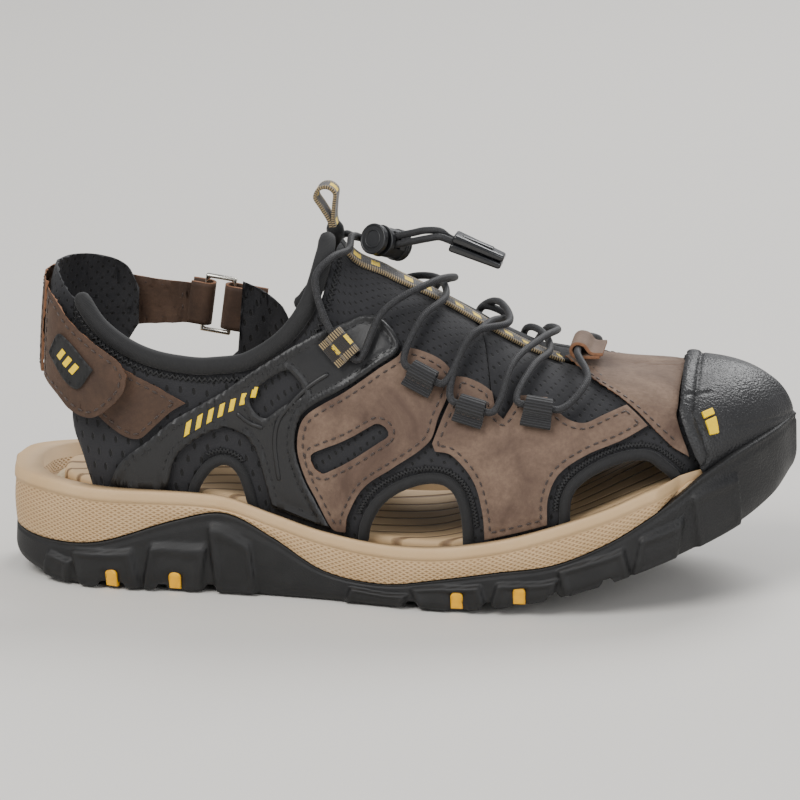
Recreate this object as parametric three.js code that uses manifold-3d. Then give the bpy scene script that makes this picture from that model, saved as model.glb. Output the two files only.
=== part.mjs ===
// Closed-toe strappy sport sandal, right foot, as separate solids in millimetres.
// Frame: +X towards the toe, -Y the outer (lateral) side, +Z up, origin at the bottom centre.
//
// The upper is drawn on the surface of a shoe last. A point of that surface has a station s,
// measured in millimetres forwards from the back of the heel, and a height v, which is 0 at the
// feather edge by the footbed and 1 on the ridge of the instep. Each sheet of the upper is an
// outline in (s, v) that is laid on the last between two offsets along its normal.

import * as THREE from "three";
import { mergeVertices } from "three/addons/utils/BufferGeometryUtils.js";
import Module from "manifold-3d";

const wasm = await Module();
wasm.setup();

// ---------------------------------------------------------------- driving dimensions
const GAP = 0.5; // clearance between pieces that touch
const LINING = 1.5; // thickness of the perforated lining
const OVERLAY = 1.6; // thickness of leather and moulded overlays
const WEBBING = 1.3; // thickness of the woven tape
const BINDING_R = 2.1; // radius of the rolled edge of a window
const COLLAR_R = 3.3; // radius of the padded top line
const RIM_WALL = 3.4; // thickness of the outsole's raised wall
const RIM_BEVEL = 1.5; // rounding of the midsole's rim
const FOOTBED = 4; // thickness of the footbed
const BOARD = 1.2; // thickness of the lasting board
const UPPER_SEAT = 6.4; // width of the groove that takes the edge of the upper
const CORD_R = 1.35; // radius of the elastic lace
const LOOP_WIDTH = 11.5; // width of a lace loop
const CHAIN_WIDTH = 10; // width of the centre tape and of the pull tab
const GROOVE_DEPTH = 3; // depth of the tread's channels
const INSERT = { width: 5, height: 8, depth: 2.6 }; // coloured plug in a sole block
const LOCK_TRAVEL = 2; // travel of the cord lock's button
const LENGTH_SCALE = 1; // stretches the whole sandal along X
const WIDTH_SCALE = 1; // stretches the whole sandal along Y

const LAST_END = 318; // station of the toe tip
const LATERAL = -1;
const MEDIAL = 1;

// Sections of the last. Columns: station, base x, base y outer, base y inner, base z,
// ridge x, ridge y, ridge z, bulge of the side, roundness of the section.
const LAST = [
  [0, -130, 0, 0, 34, -96, 0, 205, 5, 0.85],
  [14, -127, -13, 13, 34, -95, 0, 205, 5, 0.85],
  [30, -117, -23, 22, 34, -92, 0, 205, 5, 0.85],
  [50, -100, -27.5, 26, 33, -83, 0, 205, 5, 0.85],
  [90, -60, -29, 26, 31.5, -56, 0, 192, 4, 0.85],
  [130, -20, -34.5, 27, 22.5, -24, 0, 126, 4, 0.85],
  [150, 0, -38, 31, 19.5, -7, 0, 115, 5, 0.85],
  [170, 20, -41, 34.5, 19.5, 10, 0, 107, 5, 0.85],
  [210, 58, -43, 40.5, 28, 44, 1, 88, 6, 0.8],
  [245, 90, -36, 42, 39.5, 66, 3, 80, 6, 0.7],
  [275, 115, -19, 38, 47, 80, 5, 78, 5, 0.6],
  [298, 131, -1, 29, 50, 86, 7, 78, 4, 0.55],
  [318, 138, 13, 13, 52, 88, 8, 78, 3, 0.5],
];
// Plan of the sole's rim. Columns: station, x, y outer, y inner, x and y of the centre line.
const RIM = [
  [0, -146.5, 0, 0, -112, 0],
  [14, -143, -17, 17, -110, 0],
  [30, -129, -29, 28, -106, 0],
  [50, -109, -36.5, 34.5, -96, 0],
  [90, -64, -38, 34.5, -64, -1],
  [130, -24, -43, 36, -24, -3],
  [170, 20, -51, 44.3, 20, -3],
  [210, 62, -52.5, 51.5, 60, -1],
  [245, 97, -45, 52.5, 86, 4],
  [275, 124, -27, 46.3, 99, 10.2],
  [298, 139.5, -6, 37, 106, 12.3],
  [318, 146.5, 14, 14, 110, 12],
];
// Heights round the sole by station: top of the rim, wave between midsole and outsole,
// tread, floor of the outsole's cup.
const RIM_TOP = [
  [0, 41], [30, 39.5], [50, 38.5], [90, 37.5], [110, 32], [130, 26.5], [150, 23.7],
  [170, 24.3], [190, 28], [210, 34], [230, 41], [245, 47], [262, 51], [298, 54], [318, 56],
];
const WAVE = [
  [0, 22], [14, 18], [30, 16], [50, 18], [75, 27.5], [92, 31], [110, 23], [130, 11.5],
  [150, 8.5], [170, 12], [190, 16], [210, 19.5], [230, 28], [245, 37], [255, 43.5],
  [266, 51], [280, 57], [298, 61], [318, 63],
];
const TREAD = [
  [0, 9], [14, 5], [30, 1.2], [43, 0], [45, 0], [170, 0], [172, 0], [190, 2], [210, 6],
  [230, 12], [245, 17], [275, 27], [298, 35], [318, 42],
];
const CUP_FLOOR = [
  [0, 14], [30, 10], [90, 10], [130, 7], [170, 6.5], [190, 8.5], [210, 13], [230, 20],
  [245, 26], [275, 37], [298, 42], [318, 46],
];

// ---------------------------------------------------------------- small helpers
// A smooth curve through a table's rows, read at x from the given column.
function along(table, x, column = 1) {
  const last = table.length - 1;
  x = Math.min(Math.max(x, table[0][0]), table[last][0]);
  let i = 0;
  while (i < last - 1 && x >= table[i + 1][0]) i++;
  const slope = (k) => {
    const a = table[Math.max(k - 1, 0)];
    const b = table[Math.min(k + 1, last)];
    return (b[column] - a[column]) / (b[0] - a[0]);
  };
  const h = table[i + 1][0] - table[i][0];
  const t = (x - table[i][0]) / h;
  return (
    (2 * t ** 3 - 3 * t ** 2 + 1) * table[i][column] +
    (t ** 3 - 2 * t ** 2 + t) * h * slope(i) +
    (3 * t ** 2 - 2 * t ** 3) * table[i + 1][column] +
    (t ** 3 - t ** 2) * h * slope(i + 1)
  );
}

// Past the back of the heel, the tip of the toe or the ridge, the surface runs on to the other side.
function chart(s, v, side) {
  if (s < 0) return chart(-s, v, -side);
  if (s > LAST_END) return chart(2 * LAST_END - s, v, -side);
  if (v > 1) return [s, 2 - v, -side];
  return [s, v, side];
}

function onLast(s0, v0, side0) {
  const [s, v, side] = chart(s0, v0, side0);
  const [bx, , , bz, rx, ry, rz, bulge, round] = [1, 2, 3, 4, 5, 6, 7, 8, 9].map((c) => along(LAST, s, c));
  const by = along(LAST, s, side === LATERAL ? 2 : 3);
  const turn = (Math.max(v, 0) * Math.PI) / 2;
  const inwards = 1 - Math.max(Math.cos(turn), 0) ** round;
  const up = Math.sin(turn) ** (round + 0.1);
  const reach = Math.hypot(bx - rx, by - ry);
  const out = (bulge * Math.sin(Math.PI * Math.max(v, 0) ** 0.6) * (1 - v)) / reach;
  return new THREE.Vector3(
    (bx + (rx - bx) * inwards + (bx - rx) * out) * LENGTH_SCALE,
    (by + (ry - by) * inwards + (by - ry) * out) * WIDTH_SCALE,
    bz + (rz - bz) * up,
  );
}

// Unit vectors on the last: forwards along s, upwards along v, and outwards.
function frameOnLast(s, v, side) {
  const ds = 0.5;
  const dv = 0.004;
  const forward = onLast(s + ds, v, side).sub(onLast(s - ds, v, side));
  const upward = onLast(s, Math.min(v + dv, 2), side).sub(onLast(s, Math.max(v - dv, 0), side));
  const out = forward.clone().cross(upward).normalize();
  const centre = onLast(s, v, side);
  const inner = new THREE.Vector3(centre.x * 0.7, 0, 50);
  if (out.dot(centre.clone().sub(inner)) < 0) out.negate();
  return { forward: forward.normalize(), upward: upward.normalize(), out };
}

function offLast(s, v, side, offset) {
  return onLast(s, v, side).addScaledVector(frameOnLast(s, v, side).out, offset);
}

// Moves an open line on the last sideways by a distance in millimetres, to its left for +.
function shifted(line, distance, side) {
  return line.map(([s, v], i) => {
    const [a, b] = [line[Math.max(i - 1, 0)], line[Math.min(i + 1, line.length - 1)]];
    const scale = onLast(s, v + 0.02, side).distanceTo(onLast(s, Math.max(v - 0.02, 0), side));
    const mmPerV = scale / (v < 0.02 ? 0.02 + v : 0.04);
    const along = new THREE.Vector2(b[0] - a[0], (b[1] - a[1]) * mmPerV).normalize();
    return [s - along.y * distance, v + (along.x * distance) / mmPerV];
  });
}

// Ends a line exactly at height v by sliding its first and last points along their segments.
function landed(line, v = 0) {
  const slide = (p, q) => [p[0] + ((v - p[1]) * (q[0] - p[0])) / (q[1] - p[1]), v];
  const inside = line.filter((p, i) => p[1] > v + 0.004 || i === 0 || i === line.length - 1);
  return [slide(inside[0], inside[1]), ...inside.slice(1, -1), slide(inside.at(-1), inside.at(-2))];
}
const landedEnd = (line, v) => [line[0], ...landed(line, v).slice(1)];

function closedGeometry(points, faces) {
  const flat = [];
  let volume = 0;
  for (const [a, b, c] of faces) {
    volume += points[a].dot(points[b].clone().cross(points[c]));
  }
  for (const face of faces) {
    const [a, b, c] = volume < 0 ? [face[0], face[2], face[1]] : face;
    for (const k of [a, b, c]) flat.push(points[k].x, points[k].y, points[k].z);
  }
  return new THREE.BufferGeometry().setAttribute("position", new THREE.Float32BufferAttribute(flat, 3));
}

// Cuts convex cells by the lines coordinate = k * step.
function cutCells(cells, coordinate, step) {
  const done = [];
  for (const cell of cells) {
    let rest = cell;
    const values = cell.map((p) => p[coordinate]);
    const last = Math.max(...values);
    for (let k = Math.floor(Math.min(...values) / step) + 1; k * step < last - 1e-9; k++) {
      const line = k * step;
      const below = [];
      const above = [];
      rest.forEach((p, i) => {
        const q = rest[(i + 1) % rest.length];
        const [dp, dq] = [p[coordinate] - line, q[coordinate] - line];
        if (dp <= 1e-7) below.push(p);
        if (dp >= -1e-7) above.push(p);
        if ((dp < -1e-7 && dq > 1e-7) || (dp > 1e-7 && dq < -1e-7)) {
          const [lo, hi] = dp < dq ? [p, q] : [q, p];
          const t = (line - lo[coordinate]) / (hi[coordinate] - lo[coordinate]);
          const cut = [lo[0] + (hi[0] - lo[0]) * t, lo[1] + (hi[1] - lo[1]) * t];
          below.push(cut);
          above.push(cut);
        }
      });
      if (below.length > 2) done.push(below);
      rest = above;
      if (rest.length < 3) break;
    }
    if (rest.length > 2) done.push(rest);
  }
  return done;
}

// A sheet on the last. from and to are its offsets, numbers or functions of (s, v).
function sheet(outline, side, from, to, { holes = [], stepS = 10, stepV = 0.1 } = {}) {
  const rings = [outline, ...holes].map((ring) => ring.map(([s, v]) => new THREE.Vector2(s, v * 100)));
  if (THREE.ShapeUtils.isClockWise(rings[0])) rings[0].reverse();
  for (const hole of rings.slice(1)) if (!THREE.ShapeUtils.isClockWise(hole)) hole.reverse();
  const corners = rings.flat().map((p) => [p.x, p.y / 100]);
  const triangles = THREE.ShapeUtils.triangulateShape(rings[0], rings.slice(1));
  let cells = triangles.map((t) => t.map((k) => corners[k]));
  cells = cutCells(cutCells(cells, 0, stepS), 1, stepV);
  const index = new Map();
  const flat = [];
  const indexOf = ([s, v]) => {
    const key = `${s.toFixed(5)} ${v.toFixed(7)}`;
    if (!index.has(key)) {
      index.set(key, flat.length);
      flat.push([s, v]);
    }
    return index.get(key);
  };
  const polygons = cells
    .map((cell) => cell.map(indexOf).filter((k, i, all) => k !== all[(i + 1) % all.length]))
    .filter((cell) => cell.length > 2);
  const read = (value, s, v) => (typeof value === "function" ? value(s, v) : value);
  const inner = flat.map(([s, v]) => offLast(s, v, side, read(from, s, v)));
  const outer = flat.map(([s, v]) => offLast(s, v, side, read(to, s, v)));
  const count = flat.length;
  const faces = [];
  const edges = new Set(polygons.flatMap((p) => p.map((a, i) => `${a} ${p[(i + 1) % p.length]}`)));
  for (const p of polygons) {
    for (let i = 1; i < p.length - 1; i++) {
      faces.push([p[0] + count, p[i] + count, p[i + 1] + count], [p[0], p[i + 1], p[i]]);
    }
    p.forEach((a, i) => {
      const b = p[(i + 1) % p.length];
      const folded = [a, b].every((k) => Math.abs(flat[k][0] - LAST_END) < 1e-4);
      if (!edges.has(`${b} ${a}`) && !folded) faces.push([a, b, b + count], [a, b + count, a + count]);
    });
  }
  return closedGeometry([...inner, ...outer], faces);
}

// A closed solid from rings of points: each ring joins the next, and the last joins the first.
// Its upper and lower faces are split along the same diagonals, so stacked solids fit.
function loopOfSections(sections) {
  const size = sections[0].length;
  const faces = [];
  sections.forEach((_, i) => {
    const j = (i + 1) % sections.length;
    for (let k = 0; k < size - 1; k++) {
      const [a, b, c, d] = [i * size + k, j * size + k, j * size + k + 1, i * size + k + 1];
      if (k < (size - 1) / 2) faces.push([a, b, d], [b, c, d]);
      else faces.push([a, b, c], [a, c, d]);
    }
  });
  return closedGeometry(sections.flat(), faces);
}

function solidOf(geometry, matrix) {
  const bare = new THREE.BufferGeometry().setAttribute(
    "position",
    (geometry.index ? geometry.toNonIndexed() : geometry.clone()).getAttribute("position"),
  );
  if (matrix) bare.applyMatrix4(matrix);
  const merged = mergeVertices(bare, 1e-4);
  return new wasm.Manifold(
    new wasm.Mesh({
      numProp: 3,
      vertProperties: merged.attributes.position.array,
      triVerts: new Uint32Array(merged.index.array),
    }),
  );
}

function geometryOf(solid) {
  const mesh = solid.getMesh();
  return new THREE.BufferGeometry()
    .setAttribute("position", new THREE.BufferAttribute(mesh.vertProperties, 3))
    .setIndex(new THREE.BufferAttribute(mesh.triVerts, 1));
}

function roundBar(radius, sides = 8) {
  const shape = new THREE.Shape();
  for (let i = 0; i < sides; i++) {
    const turn = (i * 2 * Math.PI) / sides;
    shape[i ? "lineTo" : "moveTo"](radius * Math.cos(turn), radius * Math.sin(turn));
  }
  return shape;
}

function tube(points, radius, steps, sides = 8) {
  const extrudePath = new THREE.CatmullRomCurve3(points, false, "centripetal");
  return new THREE.ExtrudeGeometry(roundBar(radius, sides), { steps, extrudePath, bevelEnabled: false });
}

// ---------------------------------------------------------------- materials
function finish(color, roughness, metalness = 0) {
  return new THREE.MeshStandardMaterial({ color, roughness, metalness });
}
const rubber = finish(0x1e2022, 0.62);
const foam = finish(0xc9ae87, 0.75);
const board = finish(0xb9a888, 0.9);
const nubuck = finish(0x5f4a3e, 0.8);
const fabric = finish(0x1b1b1e, 0.85);
const moulded = finish(0x26282b, 0.5);
const tape = finish(0x6e5a34, 0.8);
const ribbed = finish(0x1d2022, 0.8);
const elastic = finish(0x23262a, 0.7);
const yellow = finish(0xe3b62c, 0.5);
const hardware = finish(0x1a1c1f, 0.35);
const steel = finish(0xc5c7c9, 0.3, 1);

const sandal = new THREE.Group();
function place(name, geometry, material, parent = sandal) {
  const mesh = new THREE.Mesh(geometry, material);
  mesh.name = name;
  parent.add(mesh);
  return mesh;
}
const sideName = (side) => (side === LATERAL ? "lateral" : "medial");
const bothSides = [LATERAL, MEDIAL];

// ---------------------------------------------------------------- sole unit
// A point of the sole's plan: outset from the rim in millimetres, away from the centre line.
function onRim(s, side, outset, z) {
  const [x, y] = [along(RIM, s, 1), along(RIM, s, side === LATERAL ? 2 : 3)];
  const [cx, cy] = [along(RIM, s, 4), along(RIM, s, 5)];
  const reach = Math.hypot(x - cx, y - cy);
  const k = 1 + outset / reach;
  return new THREE.Vector3((cx + (x - cx) * k) * LENGTH_SCALE, (cy + (y - cy) * k) * WIDTH_SCALE, z);
}
// A point between the centre line and the rim, where the sole's flat layers share an edge.
function onMiddle(s, side, z) {
  return onCentre(s, z).lerp(onRim(s, side, 0, z), 0.5);
}
function onCentre(s, z) {
  return new THREE.Vector3(along(RIM, s, 4) * LENGTH_SCALE, along(RIM, s, 5) * WIDTH_SCALE, z);
}
// How far the feather edge of the last, moved out by a distance, lies inside the rim.
function seatOutset(s, side, out) {
  const rim = onRim(s, side, 0, 0);
  const centre = onCentre(s, 0);
  const base = onLast(s, 0, side).setZ(0);
  const reach = rim.distanceTo(centre);
  return base.sub(centre).dot(rim.sub(centre)) / reach - reach + out;
}
const SOLE_STATIONS = [
  0, 9, 18, 30, 44, 60, 76, 90, 101, 112, 124, 137, 151, 167, 183, 199, 215, 231,
  247, 257, 267, 278, 289, 299, 309, 318,
];
function soleSolid(section) {
  const forward = SOLE_STATIONS.map((s) => section(s, LATERAL));
  const back = [...SOLE_STATIONS].slice(1, -1).reverse().map((s) => section(s, MEDIAL));
  return loopOfSections([...forward, ...back]);
}
const toeShare = (s) => Math.min(Math.max((s - 247) / 10, 0), 1);
const seatFloor = (s) => along(LAST, s, 4) - GAP - 0.3;
const midsoleFloor = (s) => seatFloor(s) - BOARD - 2 * GAP;
const seatEdge = (s, side) =>
  Math.min(seatOutset(s, side, UPPER_SEAT), -2.4, -(RIM_WALL + GAP + 2.2) * toeShare(s));

function outsoleSection(s, side) {
  const [tread, wave, floor] = [along(TREAD, s), along(WAVE, s), along(CUP_FLOOR, s)];
  return [
    onCentre(s, tread),
    onMiddle(s, side, tread),
    onRim(s, side, -3.5, tread),
    onRim(s, side, 0.3, tread + 0.35 * (wave - tread)),
    onRim(s, side, 0, wave - 1),
    onRim(s, side, -1, wave),
    onRim(s, side, -RIM_WALL, wave),
    onRim(s, side, -RIM_WALL - 1.5, floor),
    onMiddle(s, side, floor),
    onCentre(s, floor),
  ];
}

function midsoleSection(s, side) {
  const hidden = -(RIM_WALL + GAP + 1) * toeShare(s);
  const [wave, top] = [along(WAVE, s) + 0.4, along(RIM_TOP, s)];
  const low = Math.min(wave, top - 3);
  const seat = seatEdge(s, side);
  return [
    onCentre(s, along(CUP_FLOOR, s) + GAP),
    onMiddle(s, side, along(CUP_FLOOR, s) + GAP),
    onRim(s, side, -RIM_WALL - 2.3, along(CUP_FLOOR, s) + GAP),
    onRim(s, side, -RIM_WALL - GAP - 0.2, low),
    onRim(s, side, hidden - 0.1 * toeShare(s), low),
    onRim(s, side, hidden + 0.8 * (1 - toeShare(s)), (low + top) / 2),
    onRim(s, side, hidden - 0.1 * toeShare(s), top - RIM_BEVEL),
    onRim(s, side, Math.max(hidden - RIM_BEVEL, seat + 0.3), top),
    onRim(s, side, seat, top - 0.6),
    onRim(s, side, seat - 0.2, midsoleFloor(s)),
    onMiddle(s, side, midsoleFloor(s)),
    onCentre(s, midsoleFloor(s)),
  ];
}

// A flat piece inside the feather edge of the last, such as the board and the footbed.
function insideSection(inset, low, high) {
  return (s, side) => {
    const out = Math.min(seatOutset(s, side, -inset), seatEdge(s, side) - GAP);
    return [
      onCentre(s, low(s)),
      onMiddle(s, side, low(s)),
      onRim(s, side, out, low(s)),
      onRim(s, side, out - 0.5, high(s)),
      onMiddle(s, side, high(s)),
      onCentre(s, high(s)),
    ];
  };
}

const INSERT_STATIONS = [54, 75, 176, 198];
function insertSolid(s, side, grow) {
  const z = along(TREAD, s) + 4.2;
  const foot = onRim(s, side, 0.2, z);
  const inside = onRim(s, side, -10, z);
  const half = INSERT.width / 2 + grow;
  const shape = new THREE.Shape();
  shape.moveTo(-half, -INSERT.height / 2 - grow);
  shape.lineTo(half, -INSERT.height / 2 - grow);
  shape.lineTo(half, INSERT.height / 2 - half + grow);
  shape.absarc(0, INSERT.height / 2 - half + grow, half, 0, Math.PI);
  shape.closePath();
  const options = { depth: INSERT.depth + 2 * grow + (grow ? 4 : 0), bevelEnabled: false, curveSegments: 4 };
  const matrix = new THREE.Matrix4().lookAt(foot, inside, new THREE.Vector3(0, 0, 1));
  matrix.setPosition(foot.clone().lerp(inside, (INSERT.depth + grow) / 10));
  return new THREE.ExtrudeGeometry(shape, options).applyMatrix4(matrix);
}

function buildSole() {
  let outsole = solidOf(soleSolid(outsoleSection));
  const channelStations = [24, 40, 64, 86, 160, 187, 212, 238];
  for (const s of channelStations) {
    const channel = new THREE.BoxGeometry(4, 120, 2 * GROOVE_DEPTH);
    const x = along(RIM, s, 4) * LENGTH_SCALE;
    channel.applyMatrix4(new THREE.Matrix4().makeTranslation(x, 0, along(TREAD, s)));
    outsole = outsole.subtract(solidOf(channel));
  }
  for (const side of bothSides) {
    INSERT_STATIONS.forEach((s, i) => {
      outsole = outsole.subtract(solidOf(insertSolid(s, side, 0.35)));
      place(`lug_insert_${sideName(side)}_${i + 1}`, insertSolid(s, side, 0), yellow);
    });
  }
  place("outsole", geometryOf(outsole), rubber);
  place("midsole", soleSolid(midsoleSection), foam);
  const boardLow = (s) => seatFloor(s) - BOARD;
  place("lasting_board", soleSolid(insideSection(-2, boardLow, seatFloor)), board);
  const footbedLow = (s) => seatFloor(s) + 2 * GAP;
  place("footbed", soleSolid(insideSection(2.1, footbedLow, (s) => footbedLow(s) + FOOTBED)), foam);
}

// ---------------------------------------------------------------- upper: lining and windows
const COLLAR_LINE = [
  [30, 0.28], [41, 0.235], [55, 0.205], [69, 0.192], [83, 0.197], [97, 0.235],
  [110, 0.34], [119, 0.5], [124, 0.73],
];
const THROAT = [127, 1];
// Edges of the openings, from the feather edge up and over to the feather edge, heel to toe.
const ARCH_WINDOW = [[75, 0], [77, 0.025], [83, 0.055], [90, 0.065], [95, 0.05], [99, 0]];
const BALL_WINDOW = [
  [140, 0], [141, 0.05], [146, 0.115], [155, 0.17], [164, 0.2], [171, 0.2], [176, 0.17], [179, 0.1], [180, 0],
];
const TOE_WINDOW = [
  [217, 0], [217, 0.12], [220, 0.18], [228, 0.23], [240, 0.26], [249, 0.235],
  [255, 0.14], [259, 0.07], [262, 0],
];
const WINDOWS = [
  { name: "arch", line: ARCH_WINDOW, steps: 10 },
  { name: "ball", line: BALL_WINDOW, steps: 16 },
  { name: "toe", line: TOE_WINDOW, steps: 18 },
];
const LINING_FRONT = 284;
const LINING_SEAM = 190; // the quarter and vamp linings meet under the leather
const REAR_EDGE = {
  [LATERAL]: [[37, 0], [33, 0.05], [29, 0.085], [28.3, 0.125]],
  [MEDIAL]: [[68, 0], [69, 0.09], [84, 0.16], [86, 0.275], [101, 0.275], [104, 0.255]],
};
const COLLAR_START = { [LATERAL]: 29, [MEDIAL]: 108 };

const edgeOut = BINDING_R + 1.3;
function buildLining(side) {
  const collar = shifted(COLLAR_LINE, -COLLAR_R - 1, side).filter(([s]) => s > COLLAR_START[side]);
  const notch = (window) => landed(shifted(window, edgeOut, side)).reverse();
  const quarter = [
    ...REAR_EDGE[side],
    ...collar,
    [THROAT[0] + 3, 1 - 0.006],
    [LINING_SEAM, 1 - 0.006],
    [LINING_SEAM, 0.3],
    [LINING_SEAM, 0],
    ...notch(BALL_WINDOW),
    ...notch(ARCH_WINDOW),
  ];
  place(`quarter_lining_${sideName(side)}`, sheet(quarter, side, 0, LINING), fabric);
  const vamp = [
    [LINING_SEAM + GAP, 0],
    [LINING_SEAM + GAP, 0.3],
    [LINING_SEAM + GAP, 1 - 0.006],
    [240, 1 - 0.01],
    [LINING_FRONT, 1 - 0.02],
    [LINING_FRONT, 0.5],
    [LINING_FRONT, 0],
    ...notch(TOE_WINDOW),
  ];
  place(`vamp_lining_${sideName(side)}`, sheet(vamp, side, 0, LINING), fabric);
  for (const { name, line: window, steps } of WINDOWS) {
    const line = window.map(([s, v]) => offLast(s, v, side, LINING / 2));
    line[0].z += 1.2;
    line.at(-1).z += 1.2;
    place(`${name}_window_binding_${sideName(side)}`, tube(line, BINDING_R, steps, 6), fabric);
  }
}

function buildCollar() {
  for (const side of bothSides) {
    const line = COLLAR_LINE.filter(([s]) => s > COLLAR_START[side]);
    const start = side === LATERAL ? [] : [[105.8, 0.3]];
    const route = [...start, ...line, [THROAT[0] - 2, 0.87]];
    const points = route.map(([s, v]) => offLast(s, v, side, LINING / 2));
    place(`collar_${sideName(side)}`, tube(points, COLLAR_R, side === LATERAL ? 24 : 10, 8), fabric);
  }
  // Padded panel that carries the heel: from the outer quarter round the back to its inner end.
  const pad = [
    [27.5, 0.13], [27, 0.27], [10, 0.305], [-10, 0.305], [-30, 0.295], [-42, 0.275],
    [-47, 0.24], [-47, 0.185], [-40, 0.15], [-20, 0.14], [10, 0.14],
  ];
  place("heel_pad", sheet(pad, LATERAL, -3.2, 1.8, { stepV: 0.05 }), fabric);
}

// ---------------------------------------------------------------- upper: overlays
const overlayFrom = LINING + GAP;
const overlayTo = overlayFrom + OVERLAY;
// The height at which an overlay ends, just above the sole's rim.
function footOf(s, side, clear = 0.8) {
  let [low, high] = [0, 0.4];
  const rim = Math.max(along(RIM_TOP, s), along(WAVE, s));
  for (let i = 0; i < 20; i++) {
    const v = (low + high) / 2;
    if (offLast(s, v, side, overlayFrom).z < rim + clear) low = v;
    else high = v;
  }
  return high;
}
// Lifts the points of an outline that lie below the rim to the rim.
const lifted = (outline, side) => outline.map(([s, v]) => [s, v === FOOT ? footOf(s, side) : v]);
const FOOT = -1; // marks a point of an outline that ends at the sole's rim

const SUPPORT_EDGE = [
  [45, FOOT], [49, 0.045], [53, 0.06], [60, 0.08], [69, 0.11], [80, 0.14], [91, 0.18], [104, 0.26],
  [115, 0.36], [126, 0.49], [132, 0.56], [139, 0.63], [146, 0.655], [152, 0.62], [155, 0.58],
  [153, 0.54], [145, 0.47], [134, 0.38], [123, 0.28], [117, 0.22], [115, 0.18], [115, 0.14],
  [118, 0.1], [122, 0.07], [128, FOOT],
];
const SUPPORT_ARCH = [
  [106, FOOT], [102.5, 0.07], [100, 0.1], [95, 0.115], [89, 0.115],
  [82, 0.1], [75, 0.08], [70, 0.06], [66, FOOT],
];
const SUPPORT_SLOT = { from: [101.5, 0.175], to: [114, 0.27], width: 7.5 };
const LEATHER_SLOT = { from: [124, 0.15], to: [147, 0.295], width: 6.5 };

// A round-ended slot between two points of the last.
function capsule({ from, to, width }, side) {
  const mmPerV = onLast(from[0], from[1], side).distanceTo(onLast(from[0], from[1] + 0.05, side)) / 0.05;
  const turn = Math.atan2((to[1] - from[1]) * mmPerV, to[0] - from[0]);
  const points = [];
  for (const [end, start] of [[to, turn - Math.PI / 2], [from, turn + Math.PI / 2]]) {
    for (let i = 0; i <= 4; i++) {
      const a = start + (i * Math.PI) / 4;
      points.push([end[0] + (width / 2) * Math.cos(a), end[1] + ((width / 2) * Math.sin(a)) / mmPerV]);
    }
  }
  return points;
}

function buildOverlays(side) {
  const name = sideName(side);
  const support = lifted([...SUPPORT_EDGE, ...SUPPORT_ARCH], side);
  const slot = capsule(SUPPORT_SLOT, side);
  place(`side_support_${name}`, sheet(support, side, overlayFrom, overlayTo, { holes: [slot] }), moulded);

  const margin = 6.5;
  const beside = 1.3; // gap between the side support and the leather beside it
  const front = lifted(SUPPORT_EDGE, side).slice(15);
  const rear = landedEnd(shifted(front, beside, side), footOf(129, side)).reverse();
  const ball = landed(shifted(BALL_WINDOW, margin, side), footOf(134, side));
  const quarter = [
    ...rear,
    [157, 0.575],
    [164, 0.585],
    [171, 0.575],
    [175.5, 0.545],
    [173, 0.46],
    [169, 0.38],
    [165.5, 0.305],
    ...ball.slice(0, 4).reverse(),
  ];
  const quarterSlot = capsule(LEATHER_SLOT, side);
  const leather = sheet(quarter, side, overlayFrom, overlayTo, { holes: [quarterSlot] });
  place(`quarter_leather_${name}`, leather, nubuck);

  const forefoot = [
    [176.5, 0.535],
    [181, 0.545],
    [187, 0.54],
    [190.5, 0.525],
    [192, 0.45],
    [194.5, 0.43],
    [198, 0.49],
    [201, 0.545],
    [213, 0.575],
    [216, 0.52],
    [221, 0.47],
    [227, 0.455],
    [234, 0.49],
    [246.3, 0.56],
    [248.6, 0.49],
    [251, 0.405],
    [240, 0.345],
    [226, 0.3],
    [215, 0.235],
    [210.5, 0.15],
    [210, FOOT],
    [186.5, FOOT],
    [185.5, 0.12],
    [182, 0.21],
    [174, 0.275],
    [167.5, 0.28],
    [166.5, 0.3],
    [170.2, 0.375],
    [174.2, 0.455],
  ];
  place(`forefoot_leather_${name}`, sheet(lifted(forefoot, side), side, overlayFrom, overlayTo), nubuck);
}

const TOE_LOOP = { at: [66.5, 2, 86.2], width: 20, tail: 8 };
// Leather saddle over the toes: from the throat back to the toe cap, on both sides of the ridge.
const TOE_STRAP_EDGE = [
  [235, 0.86], [238, 0.76], [244.5, 0.64], [249, 0.52], [253.5, 0.36], [258, 0.24], [262, 0.15],
];
const CAP_X = 105; // where the toe cap's rear edge crosses the instep
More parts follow.
